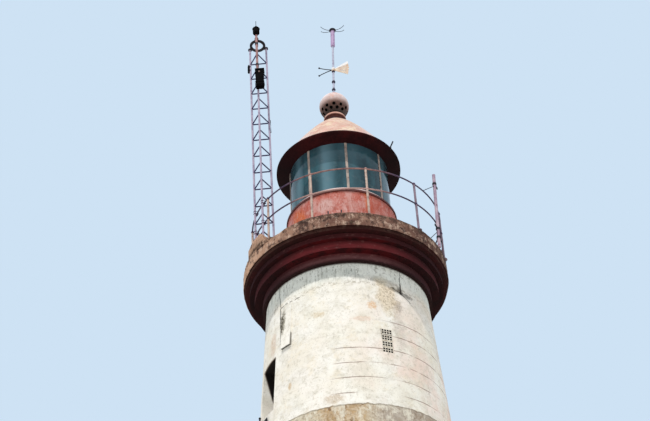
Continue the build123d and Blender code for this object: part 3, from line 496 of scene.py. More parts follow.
def stone_belt(s, colour):
    """The belt where the render has gone: returns where it is, its mottle and the colour with it."""
    ragged = s.z + s.noise(9, 5, 0.6) * 0.07
    belt_top = s.below(ragged, BELT_TOP + 0.03, BELT_TOP + 0.045)
    faded = s.between(s.z + s.noise(4, 4) * 0.8, BELT_TOP - BELT_HEIGHT, BELT_TOP)
    belt = belt_top * faded
    mottle = s.patches(0.43, 0.57, 10, 9, 0.82)
    rusty = s.band(s.bearing, radians(-15), radians(1), radians(6))
    brown = s.patches(0.52, 0.6, 15, 9, 0.85, at=s.stretched(0.6, (2, 7, 1)))
    chips = s.patches(0.49, 0.6, 5, 8, 0.78, at=s.stretched(0.5, (8, 1, 3)))
    edge = s.between(ragged, BELT_TOP + 0.005, BELT_TOP + 0.03) * belt_top
    stone = s.coats(
        s.mix(mottle, (236, 224, 202), (200, 174, 138)),
        ((226, 220, 202), s.one_side(-34, -12, 1.0, 0.0), 0.65),
        ((172, 162, 156), s.one_side(4, 18), 0.65),
        ((186, 146, 98), rusty, 0.4),
        ((122, 90, 60), brown, s.between(rusty, 0.0, 1.0, 0.55, 0.9)),
        ((244, 238, 222), chips, 0.8),
        ((120, 104, 84), edge, 0.55),
    )
    return belt, mottle, s.mix(belt, colour, stone)


def strip_edges(s, colour):
    """Painted shade under the thick strip's broken foot, and a painted shade line along its right edge near
    the foot.
    """
    under = s.below(s.facing_up, -0.9, -0.5) * s.between(s.z, STRIP_FOOT - 0.01, STRIP_FOOT)
    edge = s.below(abs(s.bearing - radians(STRIP_BEARINGS[1])), 0.002, 0.006)
    edge *= s.between(s.z, STRIP_FOOT - 0.006, STRIP_FOOT)
    edge *= s.below(s.z, STRIP_FOOT + 0.2, STRIP_FOOT + 0.26)
    return s.coats(colour, ((66, 66, 62), under, 0.9), ((112, 106, 98), edge, 0.8))


def painted_window_shade(s, colour):
    """Painted shade in the windows: brown in the reveals and black deeper in, but for the part of the upper
    one's reveal that the sun reaches.
    """
    wall_radius = (WALL_TOP - s.z) * WALL_TAPER + WALL_TOP_RADIUS
    depth = wall_radius - s.distance(s.x, s.y)
    below_top = WINDOW_TOP - s.z
    at_window = s.between(s.z, WINDOW_SILL - 0.02, WINDOW_SILL)
    sunlit = s.math("MAXIMUM", below_top, 0.0) * at_window * SUN_REACH
    within = depth - sunlit
    # Painted shade: brown near the reveals' faces, then black deeper in.
    colour = s.mix(s.between(within, 0.0, 0.02, 0.0, 0.85), colour, (160, 128, 114))
    low_down = at_window * s.between(below_top, 0.5, 0.75, 0.0, 0.14)
    return s.mix(s.between(within - low_down, 0.006, 0.03, 0.0, 0.98), colour, (16, 14, 14))


def plaster():
    """White lime render: stained and crazed, with scored courses, cracks and a belt of bare stone."""
    s = Shader("plaster")
    clouds, colour = blotches(s)
    # The band under the cornice gets its painted shade tint and its soot.
    colour = soot_and_shade_top(s, stained(s, colour))
    scored = scored_courses(s)
    cracks = [((52, 46, 42), crack_line(s, *crack), 0.9) for crack in CRACKS]
    # A painted shadow line under the thicker coat's edge.
    ledge = ledge_line(s, *LEDGE)
    colour = s.coats(colour, ((132, 100, 88), scored, 0.75), *cracks, ((92, 84, 70), ledge, 0.75))
    belt, mottle, colour = stone_belt(s, colour)
    splashed = s.z - s.noise(1.6, 5) * 1.6
    colour = s.mix(s.between(splashed, WALL_FOOT - 0.6, WALL_FOOT + 0.9, 0.6, 0.0), colour, (138, 124, 104))
    # Painted shade under the strip's foot and inside the windows.
    colour = painted_window_shade(s, strip_edges(s, colour))
    relief = s.noise(90, 5, 0.6) * 0.25 + s.noise(7, 4) * 0.8 + clouds * 0.5
    relief -= scored * 0.7 + belt * mottle * 1.6
    return s.finish(colour, 0.9, height=relief, bump=0.5, depth=0.012, gloss=0.2)


def cornice_render():
    """Maroon limewash with rose scuffs and a tone to each course, lighter low down and darker towards the
    top; painted shade makes the undersides dark red and darkens the sides.
    """
    s = Shader("cornice_render")
    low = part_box("cornice")[0].z
    first = low + COURSE_STEPS[0]
    second = first + COURSE_STEPS[1]
    edge = s.z + s.wander(0.012, 7, 4)
    face = (46, 26, 28)
    for start, end, tone in (
        (low, low + 0.06, (104, 66, 68)),
        (low + 0.07, first - 0.01, (92, 44, 47)),
        (first - 0.012, first + 0.004, (116, 44, 48)),
        (first + 0.06, second - 0.01, (84, 30, 33)),
        (second - 0.012, second + 0.004, (62, 24, 26)),
    ):
        face = s.mix(s.between(edge, start, end), face, tone)
    # Painted shade: darker towards the sides.
    aside = s.to_the_side(16, 54)
    face = s.coats(
        face,
        ((70, 28, 31), s.patches(0.42, 0.66, 4.0, 5, 0.65, at=s.polar(1.3, 5.0)), 0.5),
        ((146, 108, 104), s.patches(0.54, 0.7, 11, 6, 0.7, at=s.polar(1.6, 2.2, 4.0)), 0.4),
        ((168, 142, 122), s.patches(0.66, 0.72, 26, 6, 0.75), 0.5),
        ((44, 23, 27), aside, 0.72),
    )
    # Painted shade: the faces that look down take dark reds, darker still at the sides, and a dark brown
    # where they meet the wall.
    under = s.mottled((70, 8, 13), (38, 7, 10), 5, low=0.4)
    under = s.coats(under, ((26, 9, 11), aside, 0.85))
    under = s.mix(s.below(s.z, low, low + 0.02), under, (38, 20, 20))
    colour = s.mix(s.below(s.facing_up, -0.8, -0.3), face, under)
    return s.finish(colour, 0.9, height=s.noise(30, 5, 0.65), bump=0.35, depth=0.01, gloss=0.12)


def concrete():
    """Old cast concrete: black lichen along the top, pale lumps below it and a maroon underside, with
    painted light towards the left and painted shade towards the right.
    """
    s = Shader("concrete")
    on_slab = s.between(s.z, SLAB_LOW.z - 0.02, SLAB_LOW.z - 0.01)
    crest = s.between(s.z + s.wander(0.5, 6, 5, 0.7), SLAB_HIGH.z - 0.12, SLAB_HIGH.z - 0.02)
    crest *= s.between(s.z, SLAB_HIGH.z + 0.005, SLAB_HIGH.z + 0.05, 1.0, 0.2)
    lichen = crest * s.patches(0.4, 0.56, 22, 6, 0.75) * on_slab
    lumps = s.patches(0.51, 0.6, 10, 8, 0.8, at=s.stretched(0.8, (4, 0, 1)))
    dark = s.patches(0.51, 0.58, 8.5, 9, 0.82, at=s.stretched(0.8))
    moss = s.patches(0.6, 0.68, 17, 6, 0.7, at=s.stretched(1, (5, 2, 7)))
    drip = s.below(s.z, SLAB_LOW.z + 0.045, SLAB_LOW.z + 0.07) * on_slab
    colour = s.coats(
        s.mottled((148, 114, 98), (108, 76, 66), 4),
        # Painted light on the left and painted shade on the right.
        ((208, 168, 142), s.one_side(-70, -15, 1.0, 0.0), 0.9),
        ((80, 56, 50), s.one_side(18, 70), 0.75),
        ((206, 178, 160), lumps, 0.75),
        ((56, 38, 36), dark, 0.85),
        ((58, 46, 40), lichen, 0.85),
        ((128, 118, 82), moss, 0.5),
        ((48, 18, 17), drip, 0.93),
    )
    under = s.below(s.facing_up, -0.8, -0.4) * on_slab
    colour = s.mix(under, colour, s.mottled((46, 11, 12), (34, 12, 10), 5, low=0.4))
    relief = s.noise(14, 5, 0.6) * 0.8 + s.noise(70, 4) * 0.3
    return s.finish(colour, 0.92, height=relief, bump=0.6, depth=0.015, gloss=0.15)


def worn_iron(name, coat, shade, rust, rusting, roughness, scale, gloss=0.3):
    """Painted ironwork whose coat has chalked, darkened and rusted through in patches."""
    s = Shader(name)
    spots = s.patches(0.68 - 0.22 * rusting, 0.78 - 0.22 * rusting, scale, 6, 0.7, 0.3)
    colour = s.coats(s.mottled(coat, shade, scale * 0.5), (rust, spots, 0.85))
    relief = s.noise(scale * 6, 4) * 0.3 - spots * 0.5
    return s.finish(colour, s.between(spots, 0.0, 1.0, roughness, 0.9), height=relief, bump=0.4, gloss=gloss)


def rail_paint():
    """Rails: one paint with painted light and shade, a dull pink in front that is paler on the lower rail
    where the sun falls, and a purple brown at the sides as painted shade, with rust over both.
    """
    s = Shader("rail_iron")
    # Painted sunlight: the front's dull pink, paler on the lower rail.
    front = s.mottled((168, 128, 122), (128, 94, 92), 9)
    low_rail = s.between(s.z, SLAB_HIGH.z + 0.7, SLAB_HIGH.z + 0.8, 0.6, 0.0)
    front = s.mix(low_rail, front, (214, 176, 168))
    # Painted shade: purple brown at the sides.
    sides = s.mottled((92, 74, 100), (64, 52, 80), 9)
    base = s.mix(s.to_the_side(16, 36), front, sides)
    colour = s.coats(base, ((84, 44, 44), s.patches(0.57, 0.67, 18, 6, 0.7, 0.3), 0.75))
    return s.finish(colour, 0.7, height=s.noise(108, 4))


def post_paint():
    """Posts: cream pink with rust, and a dull violet on the right side as painted shade."""
    s = Shader("post_iron")
    base = s.mottled((204, 182, 168), (164, 138, 132), 9)
    # Painted shade: dull violet on the right side.
    violet = s.mottled((138, 120, 142), (108, 92, 114), 12)
    rust = s.patches(0.55, 0.65, 18, 6, 0.7, 0.3)
    colour = s.coats(base, (violet, s.one_side(24, 38), 0.85), ((124, 72, 54), rust, 0.85))
    return s.finish(colour, 0.7, height=s.noise(108, 4))


def drum_paint():
    """Salmon red paint on the lantern's drum, gone orange and white in streaks that run down, with a painted
    shadow along its top under the sill.
    """
    s = Shader("drum_paint")
    colour = s.mottled((194, 104, 90), (208, 148, 140), 5, 5, 0.42, 0.6, 0.65)
    for *oval, amount, tint in DRUM_STAINS:
        colour = s.coats(colour, (tint, s.spot(*oval, 1.6, 5.0), amount))
    streaks = s.patches(0.48, 0.6, 6.0, 7, 0.8, at=s.polar(3.0, 0.8))
    pale = s.patches(0.53, 0.6, 9.0, 7, 0.8, at=s.polar(2.6, 1.2, 7.0))
    dark = s.patches(0.56, 0.64, 14, 7, 0.8, at=s.polar(2.4, 1.4, 3.0))
    colour = s.coats(
        colour,
        ((176, 74, 50), streaks, 0.7),
        ((222, 186, 180), pale, s.between(s.z, DRUM_LOW.z + 0.3, DRUM_HIGH.z - 0.2, 0.9, 0.4)),
        ((122, 54, 44), dark, 0.7),
        # Painted shadow: a dark band along the drum's top, under the sill's lip.
        ((70, 26, 24), s.between(s.z, DRUM_HIGH.z - 0.05, DRUM_HIGH.z - 0.036), 0.9),
    )
    relief = (s.noise(40, 4) - streaks) * 0.4
    return s.finish(colour, 0.62, height=relief, bump=0.35, depth=0.004)


def roof_paint():
    """Peach paint, cream where it has chalked, with pink and rust mottling, and a painted lilac white
    reflection towards its left and right sides.
    """
    s = Shader("roof_paint")
    cream = s.patches(0.5, 0.6, 5, 7, 0.75, at=s.stretched(0.6, (1, 6, 3)))
    pink = s.patches(0.53, 0.61, 6, 7, 0.75, at=s.stretched(0.6, (7, 2, 1)))
    colour = s.coats(
        s.mottled((218, 190, 172), (204, 164, 146), 3.2),
        ((232, 214, 184), cream, 0.7),
        ((222, 160, 150), pink, 0.6),
        ((194, 118, 90), s.patches(0.5, 0.6, 12, 8, 0.82), 0.65),
        # Painted reflection: lilac white towards the left and right sides.
        ((218, 212, 224), s.between(abs(s.x), 0.3, 0.75), 0.55),
        ((150, 92, 76), s.patches(0.62, 0.7, 30, 6, 0.75), 0.5),
    )
    return s.finish(colour, 0.55, height=s.noise(26, 5, 0.6), depth=0.006)


def neck_paint():
    """The roof's paint on the neck's bead, and dark maroon below the bead and above it; every face that
    looks down also takes the dark maroon, as painted shade.
    """
    s = Shader("neck_paint")
    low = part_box("roof_neck")[0].z
    # Dark maroon below and above the bead, and painted shade on every face that looks down.
    groove = s.math("MAXIMUM", s.below(s.z, low + 0.085, low + 0.1), s.below(s.facing_up, -0.6, -0.1))
    groove = s.math("MAXIMUM", groove, s.between(s.z, low + 0.16, low + 0.17))
    bead = s.mottled((222, 178, 162), (204, 148, 130), 8, 5)
    dark = s.mottled((84, 34, 28), (58, 24, 22), 16, low=0.4)
    return s.finish(s.mix(groove, bead, dark), 0.6, height=s.noise(40, 4), depth=0.003)


def soffit_paint():
    """Very dark maroon paint under the eave, darker towards the sides as painted shade."""
    s = Shader("soffit_paint")
    base = s.mottled((58, 14, 16), (38, 8, 11), 5, 5, low=0.4, roughness=0.6)
    rust = s.patches(0.58, 0.7, 16, 6, 0.7)
    # Painted shade: darker still towards the sides.
    colour = s.coats(base, ((84, 34, 30), rust, 0.4), ((18, 6, 9), s.to_the_side(15, 75), 0.8))
    return s.finish(colour, 0.85, height=s.noise(30, 4), depth=0.004, gloss=0.12)


def lantern_glass():
    """Dark glass, cloudy near its top, with painted reflections in light upright bands and a little dust."""
    s = Shader("lantern_glass")
    cloudy = s.patches(0.38, 0.66, 2.2, 4, 0.6, at=s.polar(1.2, 0.6))
    colour = s.mix(cloudy, (26, 54, 62), (44, 88, 98))
    colour = s.coats(colour, ((64, 80, 92), s.between(s.z, PANES_TOP - 0.5, PANES_TOP), 0.45))
    # Painted reflections: light upright bands at the listed bearings.
    for bearing, reach, amount in GLASS_REFLECTIONS:
        band = s.below(abs(s.bearing - radians(bearing)), 0.0, radians(reach))
        colour = s.coats(colour, ((104, 140, 154), band, amount))
    dust = s.patches(0.5, 0.75, 8, 6, 0.7)
    colour = s.coats(colour, ((110, 128, 130), dust, 0.25))
    s.surface.inputs["Alpha"].default_value = 0.95
    rough = s.between(dust, 0.0, 1.0, 0.07, 0.3)
    return s.finish(colour, rough, height=s.noise(3, 2), bump=0.05, depth=0.004, gloss=0.28)


def ball_paint():
    """Chalky pink white paint, whiter towards the sides as a painted highlight; below the middle, painted
    shade in mottled brown that goes black towards the bottom; black inside as painted shade.
    """
    s = Shader("ball_paint")
    low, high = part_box("ventilator_ball")
    middle = (low.z + high.z) / 2
    chalk = s.coats(
        s.mottled((232, 218, 220), (206, 180, 174), 8, 5),
        ((212, 150, 130), s.patches(0.48, 0.58, 12, 7, 0.75), 0.6),
        # Painted highlight: whiter towards the sides.
        ((238, 232, 236), s.to_the_side(10, 40), 0.5),
    )
    # Painted shade: darker towards the lower half.
    chalk = s.mix(s.between(s.z, middle - 0.08, middle + 0.12, 0.55, 0.0), chalk, (176, 136, 122))
    rims = s.patches(0.52, 0.6, 22, 7, 0.8, at=s.stretched(1, (3, 5, 1)))
    # Painted shade over the lower half: mottled brown, going black towards the bottom.
    shaded_lower_half = s.coats(s.mottled((98, 66, 56), (62, 42, 38), 18, 5, low=0.4), ((140, 98, 84), rims, 0.7))
    shaded_lower_half = s.mix(s.between(s.z, low.z + 0.04, middle - 0.1, 0.8, 0.0), shaded_lower_half, (24, 18, 18))
    soot = s.below(s.z + s.wander(0.1, 7, 4), middle - 0.14, middle)
    away = s.distance(s.distance(s.x, s.y), s.z - middle)
    # Painted shade: black inside the ball.
    inside = s.below(away, BALL_RADIUS - 0.006, BALL_RADIUS - 0.003)
    colour = s.mix(inside, s.coats(chalk, (shaded_lower_half, soot, 0.96)), (14, 12, 12))
    return s.finish(colour, 0.6, height=s.noise(40, 4), depth=0.003)


def fired_clay():
    """Hollow clay blocks under the same limewash as the wall, painted black in their holes as shade."""
    s = Shader("fired_clay")
    base = s.mottled((236, 230, 218), (212, 200, 186), 30, low=0.4)
    base = s.coats(base, ((160, 140, 122), s.patches(0.6, 0.7, 60, 5, 0.7), 0.6))
    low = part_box("vent_blocks")[0]
    facing = radians(VENT_BEARING)
    front = (-low.y - VENT_WIDTH / 2 * sin(facing)) / cos(facing)
    out = s.x * sin(facing) - s.y * cos(facing)
    depth = front - out
    row = s.math("MODULO", s.z - low.z, VENT_PITCH)
    in_block = s.below(row, VENT_BLOCK - 0.001, VENT_BLOCK)
    # Painted shade: black at the holes' mouths and deeper inside.
    mouth = s.between(depth, 0.002, 0.005) * in_block
    hole_shade = s.math("MAXIMUM", mouth, s.between(depth, 0.014, 0.02))
    return s.finish(s.mix(hole_shade, base, (22, 17, 16)), 0.9, height=s.noise(60, 4), bump=0.5, depth=0.003)


def door_paint():
    """Painted boards, worn through here and there, with dark joints."""
    s = Shader("door_boards")
    joint = s.below(s.math("PINGPONG", s.x, 0.075), 0.0, 0.006)
    grain = s.noise(40, 5, 0.6, at=s.stretched(0.06))
    bare = s.patches(0.56, 0.66, 5, 6, 0.7, at=s.stretched(0.3))
    base = s.mix(s.between(grain, 0.4, 0.7), (128, 64, 52), (96, 44, 38))
    colour = s.mix(joint, s.coats(base, ((158, 136, 116), bare, 0.7)), (36, 20, 18))
    return s.finish(colour, 0.75, height=grain * 0.3 - joint, bump=0.6, depth=0.006)


def mast_paint():
    """Lilac grey legs, and cross bars painted dark blue grey as shade."""
    s = Shader("mast_paint")
    legs = s.mottled((186, 174, 194), (154, 142, 168), 14, low=0.4)
    legs = s.coats(legs, ((112, 80, 92), s.patches(0.56, 0.66, 24, 6, 0.75), 0.6))
    # Painted shade: the cross bars take a dark blue grey.
    bars = s.mottled((44, 46, 92), (70, 60, 98), 20, low=0.4, high=0.7)
    upright_x = s.x + (s.z - MAST_FOOT) * MAST_SLANT
    nearest, *others = [s.distance(upright_x - leg.x, s.y - leg.y) for leg in MAST_LEGS]
    for away in others:
        nearest = s.math("MINIMUM", nearest, away)
    on_leg = s.below(nearest, MAST_LEG_RADIUS + 0.002, MAST_LEG_RADIUS + 0.004)
    return s.finish(s.mix(on_leg, bars, legs), 0.65, height=s.noise(60, 4))


def spindle_paint():
    """Pale blue grey shaft, navy knobs and a lilac tube."""
    s = Shader("spindle_paint")
    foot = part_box("spindle")[0].z
    rust = s.patches(0.62, 0.72, 26, 6, 0.75)
    shaft = s.mottled((190, 192, 212), (160, 158, 182), 18, low=0.4)
    shaft = s.coats(shaft, ((122, 88, 92), rust, 0.6))
    tube = s.mottled((186, 158, 196), (158, 128, 168), 12, 5, low=0.4)
    tube = s.coats(tube, ((128, 84, 96), rust, 0.7))
    colour = s.mix(s.between(s.z, foot + TUBE_START - 0.01, foot + TUBE_START), shaft, tube)
    for height in SPINDLE_DARK_HEIGHTS:
        colour = s.mix(s.below(abs(s.z - (foot + height)), 0.034, 0.037), colour, (52, 46, 66))
    return s.finish(colour, 0.55, height=s.noise(60, 4))


def vane_paint():
    """Cream paint on the tail, orange along its ribs and white along its upper edge."""
    s = Shader("vane_paint")
    low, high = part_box("vane_hub")
    hub = (low + high) / 2
    ahead = (s.x - hub.x) * cos(VANE_TURN) - (s.y - hub.y) * sin(VANE_TURN)
    rise = s.z - hub.z + ahead * sin(SPINDLE_LEAN)
    fan = s.math("ARCTAN2", rise, ahead)
    rib = s.below(s.math("PINGPONG", fan, TAIL_RIB_TURN / 2), radians(1.2), radians(3.2))
    worn = s.patches(0.36, 0.56, 16, 5, 0.65)
    colour = s.mottled((228, 212, 190), (206, 184, 162), 12, low=0.4)
    colour = s.coats(colour, ((206, 134, 96), rib * worn, 0.6))
    colour = s.mix(s.between(fan, radians(20), radians(22)), colour, (240, 238, 240))
    colour = s.coats(colour, ((170, 96, 68), s.patches(0.58, 0.68, 40, 6, 0.7), 0.7))
    return s.finish(colour, 0.6, height=s.noise(80, 4))


def floor_paint():
    """Pale, even floor."""
    s = Shader("floor")
    return s.finish(s.mottled(*FLOOR_TONES, 0.4, 3, 0.3, 0.7), 0.9)


def dress(material, *names):
    """Gives CAD nodes, by name, their finished material."""
    for name in names:
        materials = nodes[name].data.materials
        materials.clear()
        materials.append(material)


lime = plaster()
worn_concrete = concrete()
rail_iron = rail_paint()
post_iron = post_paint()
irons = {name: worn_iron(name, *values) for name, values in IRONS.items()}
black_iron = irons["black_iron"]
dark_iron = irons["dark_iron"]
drum_coat = drum_paint()
door_coat = door_paint()

for side in ("front", "right", "back", "left"):
    dress(lime, f"lower_wall_{side}", f"upper_wall_{side}")
dress(lime, "wall_strip")
dress(worn_concrete, "plinth", "entrance_step", "gallery_slab", "mast_footing")
dress(cornice_render(), "cornice")
dress(fired_clay(), "vent_blocks")
dress(door_coat, "entrance_door")
dress(rail_iron, "top_rail", "middle_rail")
dress(post_iron, "railing_posts")
dress(irons["pole_iron"], "side_pole")
dress(drum_coat, "lantern_drum")
dress(irons["sill_coat"], "lantern_sill")
dress(irons["mullion_coat"], "lantern_mullions")
dress(lantern_glass(), "lantern_panes")
dress(soffit_paint(), "roof_eave", "lantern_head")
dress(roof_paint(), "roof")
dress(neck_paint(), "roof_neck")
dress(ball_paint(), "ventilator_ball")
dress(spindle_paint(), "spindle")
dress(vane_paint(), "vane_hub", "vane_tail")
dress(mast_paint(), "mast_lower", "mast_upper")
dress(irons["pipe_iron"], "mast_pipe")
dress(dark_iron, "wall_bracket", "pole_clamps", "pole_stays", "mast_head", "pipe_clamps")
dress(dark_iron, "eave_hook", "vane_pointer", "spindle_cap")
dress(black_iron, "beacon", "mast_cabinet")


def make_piece(name, shape, material, body="tower", smooth=True):
    """Turns a bmesh into a piece that rides on a CAD body."""
    bmesh.ops.recalc_face_normals(shape, faces=shape.faces)
    mesh = bpy.data.meshes.new(name)
    shape.to_mesh(mesh)
    shape.free()
    mesh.materials.append(material)
    for face in mesh.polygons:
        face.use_smooth = smooth
    piece = bpy.data.objects.new(name, mesh)
    bpy.context.scene.collection.objects.link(piece)
    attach(piece, body)
    return piece


def bevelled(piece, width):
    """Rounds the piece's edges."""
    bevel = piece.modifiers.new("edges", "BEVEL")
    bevel.width = width
    bevel.segments = 2
    bevel.limit_method = "ANGLE"


def spread(start, end, steps):
    """Even values from start to end."""
    return [start + (end - start) * step / steps for step in range(steps + 1)]


def eased(value, start, end):
    """0 at start, 1 at end, and an even curve between."""
    share = min(max((value - start) / (end - start), 0), 1)
    return share * share * (3 - 2 * share)


def bridge(shape, rings, closed=False):
    """Faces between rings of vertices."""
    pairs = list(zip(rings, rings[1:]))
    if closed:
        pairs.append((rings[-1], rings[0]))
    for low, high in pairs:
        count = len(low)
        for index in range(count):
            after = (index + 1) % count
            shape.faces.new((low[index], low[after], high[after], high[index]))


def capped(shape, rings):
    """A solid of rings of vertices, with a face over the first and the last."""
    bridge(shape, rings)
    shape.faces.new(reversed(rings[0]))
    shape.faces.new(rings[-1])


def ring_points(radius, steps, height=0):
    angles = [2 * pi * step / steps for step in range(steps)]
    return [Vector((radius * cos(angle), radius * sin(angle), height)) for angle in angles]


def lathe(shape, profile, foot, rise, steps):
    """Turns (radius, height) points round the line from foot along rise."""
    place = Matrix.Translation(foot) @ rise.to_track_quat("Z", "Y").to_matrix().to_4x4()
    rings = []
    for radius, height in profile:
        rings.append([shape.verts.new(place @ point) for point in ring_points(radius, steps, height)])
    capped(shape, rings)


def barrel(radius, tall, ease, reach):
    """The profile of a round bar whose ends are eased, by ease in radius over reach in length."""
    return (radius - ease, 0), (radius, reach), (radius, tall - reach), (radius - ease, tall)


def rod(shape, points, radius, steps=8):
    """A round bar along points."""
    rings = []
    for index, point in enumerate(points):
        before = points[max(index - 1, 0)]
        after = points[min(index + 1, len(points) - 1)]
        turn = (after - before).to_track_quat("Z", "Y")
        rings.append([shape.verts.new(point + turn @ spoke) for spoke in ring_points(radius, steps)])
    capped(shape, rings)


def shell(shape, near, far):
    """A solid between two grids of points, each a list of rows."""
    rims = []
    for grid in (near, far):
        rows = [[shape.verts.new(point) for point in row] for row in grid]
        for low, high in zip(rows, rows[1:]):
            for corners in zip(low, low[1:], high[1:], high):
                shape.faces.new(corners)
        right = [row[-1] for row in rows[1:-1]]
        left = [row[0] for row in rows[-2:0:-1]]
        rims.append(rows[0] + right + rows[-1][::-1] + left)
    bridge(shape, rims)


def wrapped(shape, turns, heights, inner, outer):
    """A curved panel over bearings and heights, between two radii that are functions of both."""
    grids = []
    for reach in (inner, outer):
        grids.append([[around(reach(turn, z), turn, z) for turn in turns] for z in heights])
    shell(shape, *grids)


def round_face(radius):
    """A panel's face that has one radius."""
    return lambda turn, z: radius


def block(shape, centre, size, turn=0.0):
    """A block with its middle at centre, turned by a bearing."""
    spin = Matrix.Rotation(radians(turn), 4, "Z")
    place = Matrix.Translation(centre) @ spin @ Matrix.Diagonal((*size, 1))
    bmesh.ops.create_cube(shape, size=1.0, matrix=place)


def slab_outline(bearing):
    """The slab's section at a bearing, as (radius, height) points. Its top edge is broken at the left."""
    broken = EDGE_LOSS * eased(bearing, -20, -40) * eased(bearing, -50, -45)
    ragged = 0.5 + 0.5 * noise.noise(around(SLAB_HIGH.x, bearing) * 6)
    loss = 0.012 + broken * (0.7 + 0.5 * ragged) + 0.012 * ragged
    drip = SLAB_HIGH.x - DRIP_INSET
    points = [(SLAB_HOLE_RADIUS, SLAB_LOW.z), (SLAB_UNDER_RING, SLAB_LOW.z), (drip - 0.012, SLAB_LOW.z)]
    points += [(drip, SLAB_LOW.z + 0.012), (drip, DRIP_TOP), (SLAB_HIGH.x - 0.01, DRIP_TOP)]
    points += [(SLAB_HIGH.x, z) for z in spread(DRIP_TOP + 0.01, SLAB_HIGH.z - loss, 14)]
    points += [(radius, SLAB_HIGH.z) for radius in (SLAB_HIGH.x - loss, SLAB_TOP_RING, SLAB_HOLE_RADIUS)]
    return points


def make_slab():
    """The CAD's ring with worn, chipped edges."""
    shape = bmesh.new()
    columns = []
    for step in range(SLAB_STEPS):
        bearing = 360 * step / SLAB_STEPS - 180
        column = []
        for radius, height in slab_outline(bearing):
            if radius > SLAB_WORN_FROM and height > DRIP_TOP - 0.001:
                place = around(radius, bearing, height)
                rough = noise.fractal(place * 9, 0.8, 2.1, 5) + 0.6 * noise.noise(place * 2.5)
                radius -= SLAB_WEAR * min(max(0.5 + 0.5 * rough, 0), 1)
            column.append(shape.verts.new(around(radius, bearing, height)))
        columns.append(column)
    bridge(shape, list(zip(*columns)), closed=True)
    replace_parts(make_piece("worn_slab", shape, worn_concrete), "gallery_slab")


def mound_top(x, y):
    """Height of the mast's footing, which slopes off towards the front and is rounded along its edges."""
    near = MAST_LEGS[0]
    past_leg = (x - near.x) * sin(FOOTING_SLOPE) + (near.y - y) * cos(FOOTING_SLOPE)
    height = (MAST_FOOT - SLAB_HIGH.z) * eased(past_leg, 0.17, 0.03)
    edge = min(FOOTING_INSIDE - x, FOOTING_BACK - y, FOOTING_REACH - hypot(x, y))
    rounding = 0.04 + 0.05 * eased(y, -0.84, -0.6)
    short = max(rounding - max(edge, 0), 0)
    height -= rounding - sqrt(rounding**2 - short**2)
    return SLAB_HIGH.z + max(height + 0.008 * noise.noise(Vector((x, y, 0)) * 12), -0.01)


def make_footing():
    """The mast's footing as a worn mound of concrete."""
    shape = bmesh.new()
    top, bottom = [], []
    for y in spread(FOOTING_FRONT, FOOTING_BACK, 40):
        outside = -min(-FOOTING_LOW.x, sqrt(FOOTING_REACH**2 - y * y))
        row = spread(outside, FOOTING_INSIDE, 24)
        top.append([Vector((x, y, mound_top(x, y))) for x in row])
        bottom.append([Vector((x, y, SLAB_HIGH.z - FOOTING_SUNK)) for x in row])
    shell(shape, bottom, top)
    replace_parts(make_piece("footing_mound", shape, worn_concrete), "mast_footing")


def wall_reach(height):
    return WALL_TOP_RADIUS + WALL_TAPER * (WALL_TOP - height)


def strip_back(turn, height):
    """The strip's hidden face, just inside the wall."""
    return wall_reach(height) - 0.004


def strip_front(turn, height):
    """The strip's face: it stands out more towards its broken foot."""
    share = (WALL_TOP - height) / (WALL_TOP - STRIP_FOOT)
    lump = 0.004 * noise.noise(around(1.4, turn, height) * 14) * share
    return wall_reach(height) + STRIP_SWELL * share**2 + 0.002 + lump


def make_strip():
    """The thicker coat of render that runs down from the cornice."""
    shape = bmesh.new()
    heights = spread(STRIP_FOOT, WALL_TOP - 0.004, 26)
    wrapped(shape, spread(*STRIP_BEARINGS, 12), heights, strip_back, strip_front)
    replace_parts(make_piece("render_strip", shape, lime, smooth=False), "wall_strip")


def on_mast(leg, height):
    """A point on a leaning leg's centre line."""
    return Vector((leg.x - (height - MAST_FOOT) * MAST_SLANT, leg.y, height))


def u_bolt(shape, spot, out, along):
    """A rod bent round a mast leg, with its two ends drawn back through nuts."""
    bend = MAST_LEG_RADIUS + 0.005
    arc = [along * bend * cos(turn) + out * bend * sin(turn) for turn in spread(0, pi, 10)]
    tails = [side * bend * along - out * (CLAMP_BACK + 0.018) for side in (1, -1)]
    rod(shape, [spot + point for point in (tails[0], *arc, tails[1])], CLAMP_ROD)
    for tail in tails:
        lathe(shape, ((0.009, 0), (0.009, 0.008)), spot + tail + out * 0.005, out, 6)


def make_mast_clamps():
    """U-bolts and back plates where the rails cross the two outer legs."""
    shape = bmesh.new()
    for leg in MAST_LEGS[:2]:
        out = (leg - RAIL_CENTRE).normalized()
        along = Vector((-out.y, out.x, 0))
        turn = degrees(atan2(out.x, -out.y))
        for height in RAIL_HEIGHTS:
            spot = on_mast(leg, SLAB_HIGH.z + height)
            block(shape, spot - out * (CLAMP_BACK + 0.003), (0.06, 0.005, 0.066), turn)
            for rise in (-0.024, 0.024):
                u_bolt(shape, spot + UP * rise, out, along)
    make_piece("mast_clamps", shape, rail_iron, smooth=False)


def make_mast_fittings():
    """A dark fitting high on the outermost leg and a bent rod along the inner one."""
    shape = bmesh.new()
    _, far, inner = MAST_LEGS
    foot, top = FITTING_HEIGHTS
    tall = top - foot
    capsule = ((0.008, 0), (0.02, 0.012), (0.023, 0.05))
    capsule += ((0.023, tall - 0.06), (0.018, tall - 0.02), (0.006, tall))
    lathe(shape, capsule, on_mast(far, foot) - Vector((0.034, 0, 0)), UP, 14)
    for share in (0.3, 0.7):
        spot = on_mast(far, foot + tall * share)
        block(shape, spot - Vector((0.02, 0, 0)), (0.05, 0.05, 0.012))
    low, high = (on_mast(inner, z) for z in ROD_HEIGHTS)
    aside = Vector((0.027, -0.01, 0))
    rod(shape, [low, low + aside, high + aside * 0.9, high], 0.006)
    make_piece("mast_fittings", shape, black_iron, smooth=False)


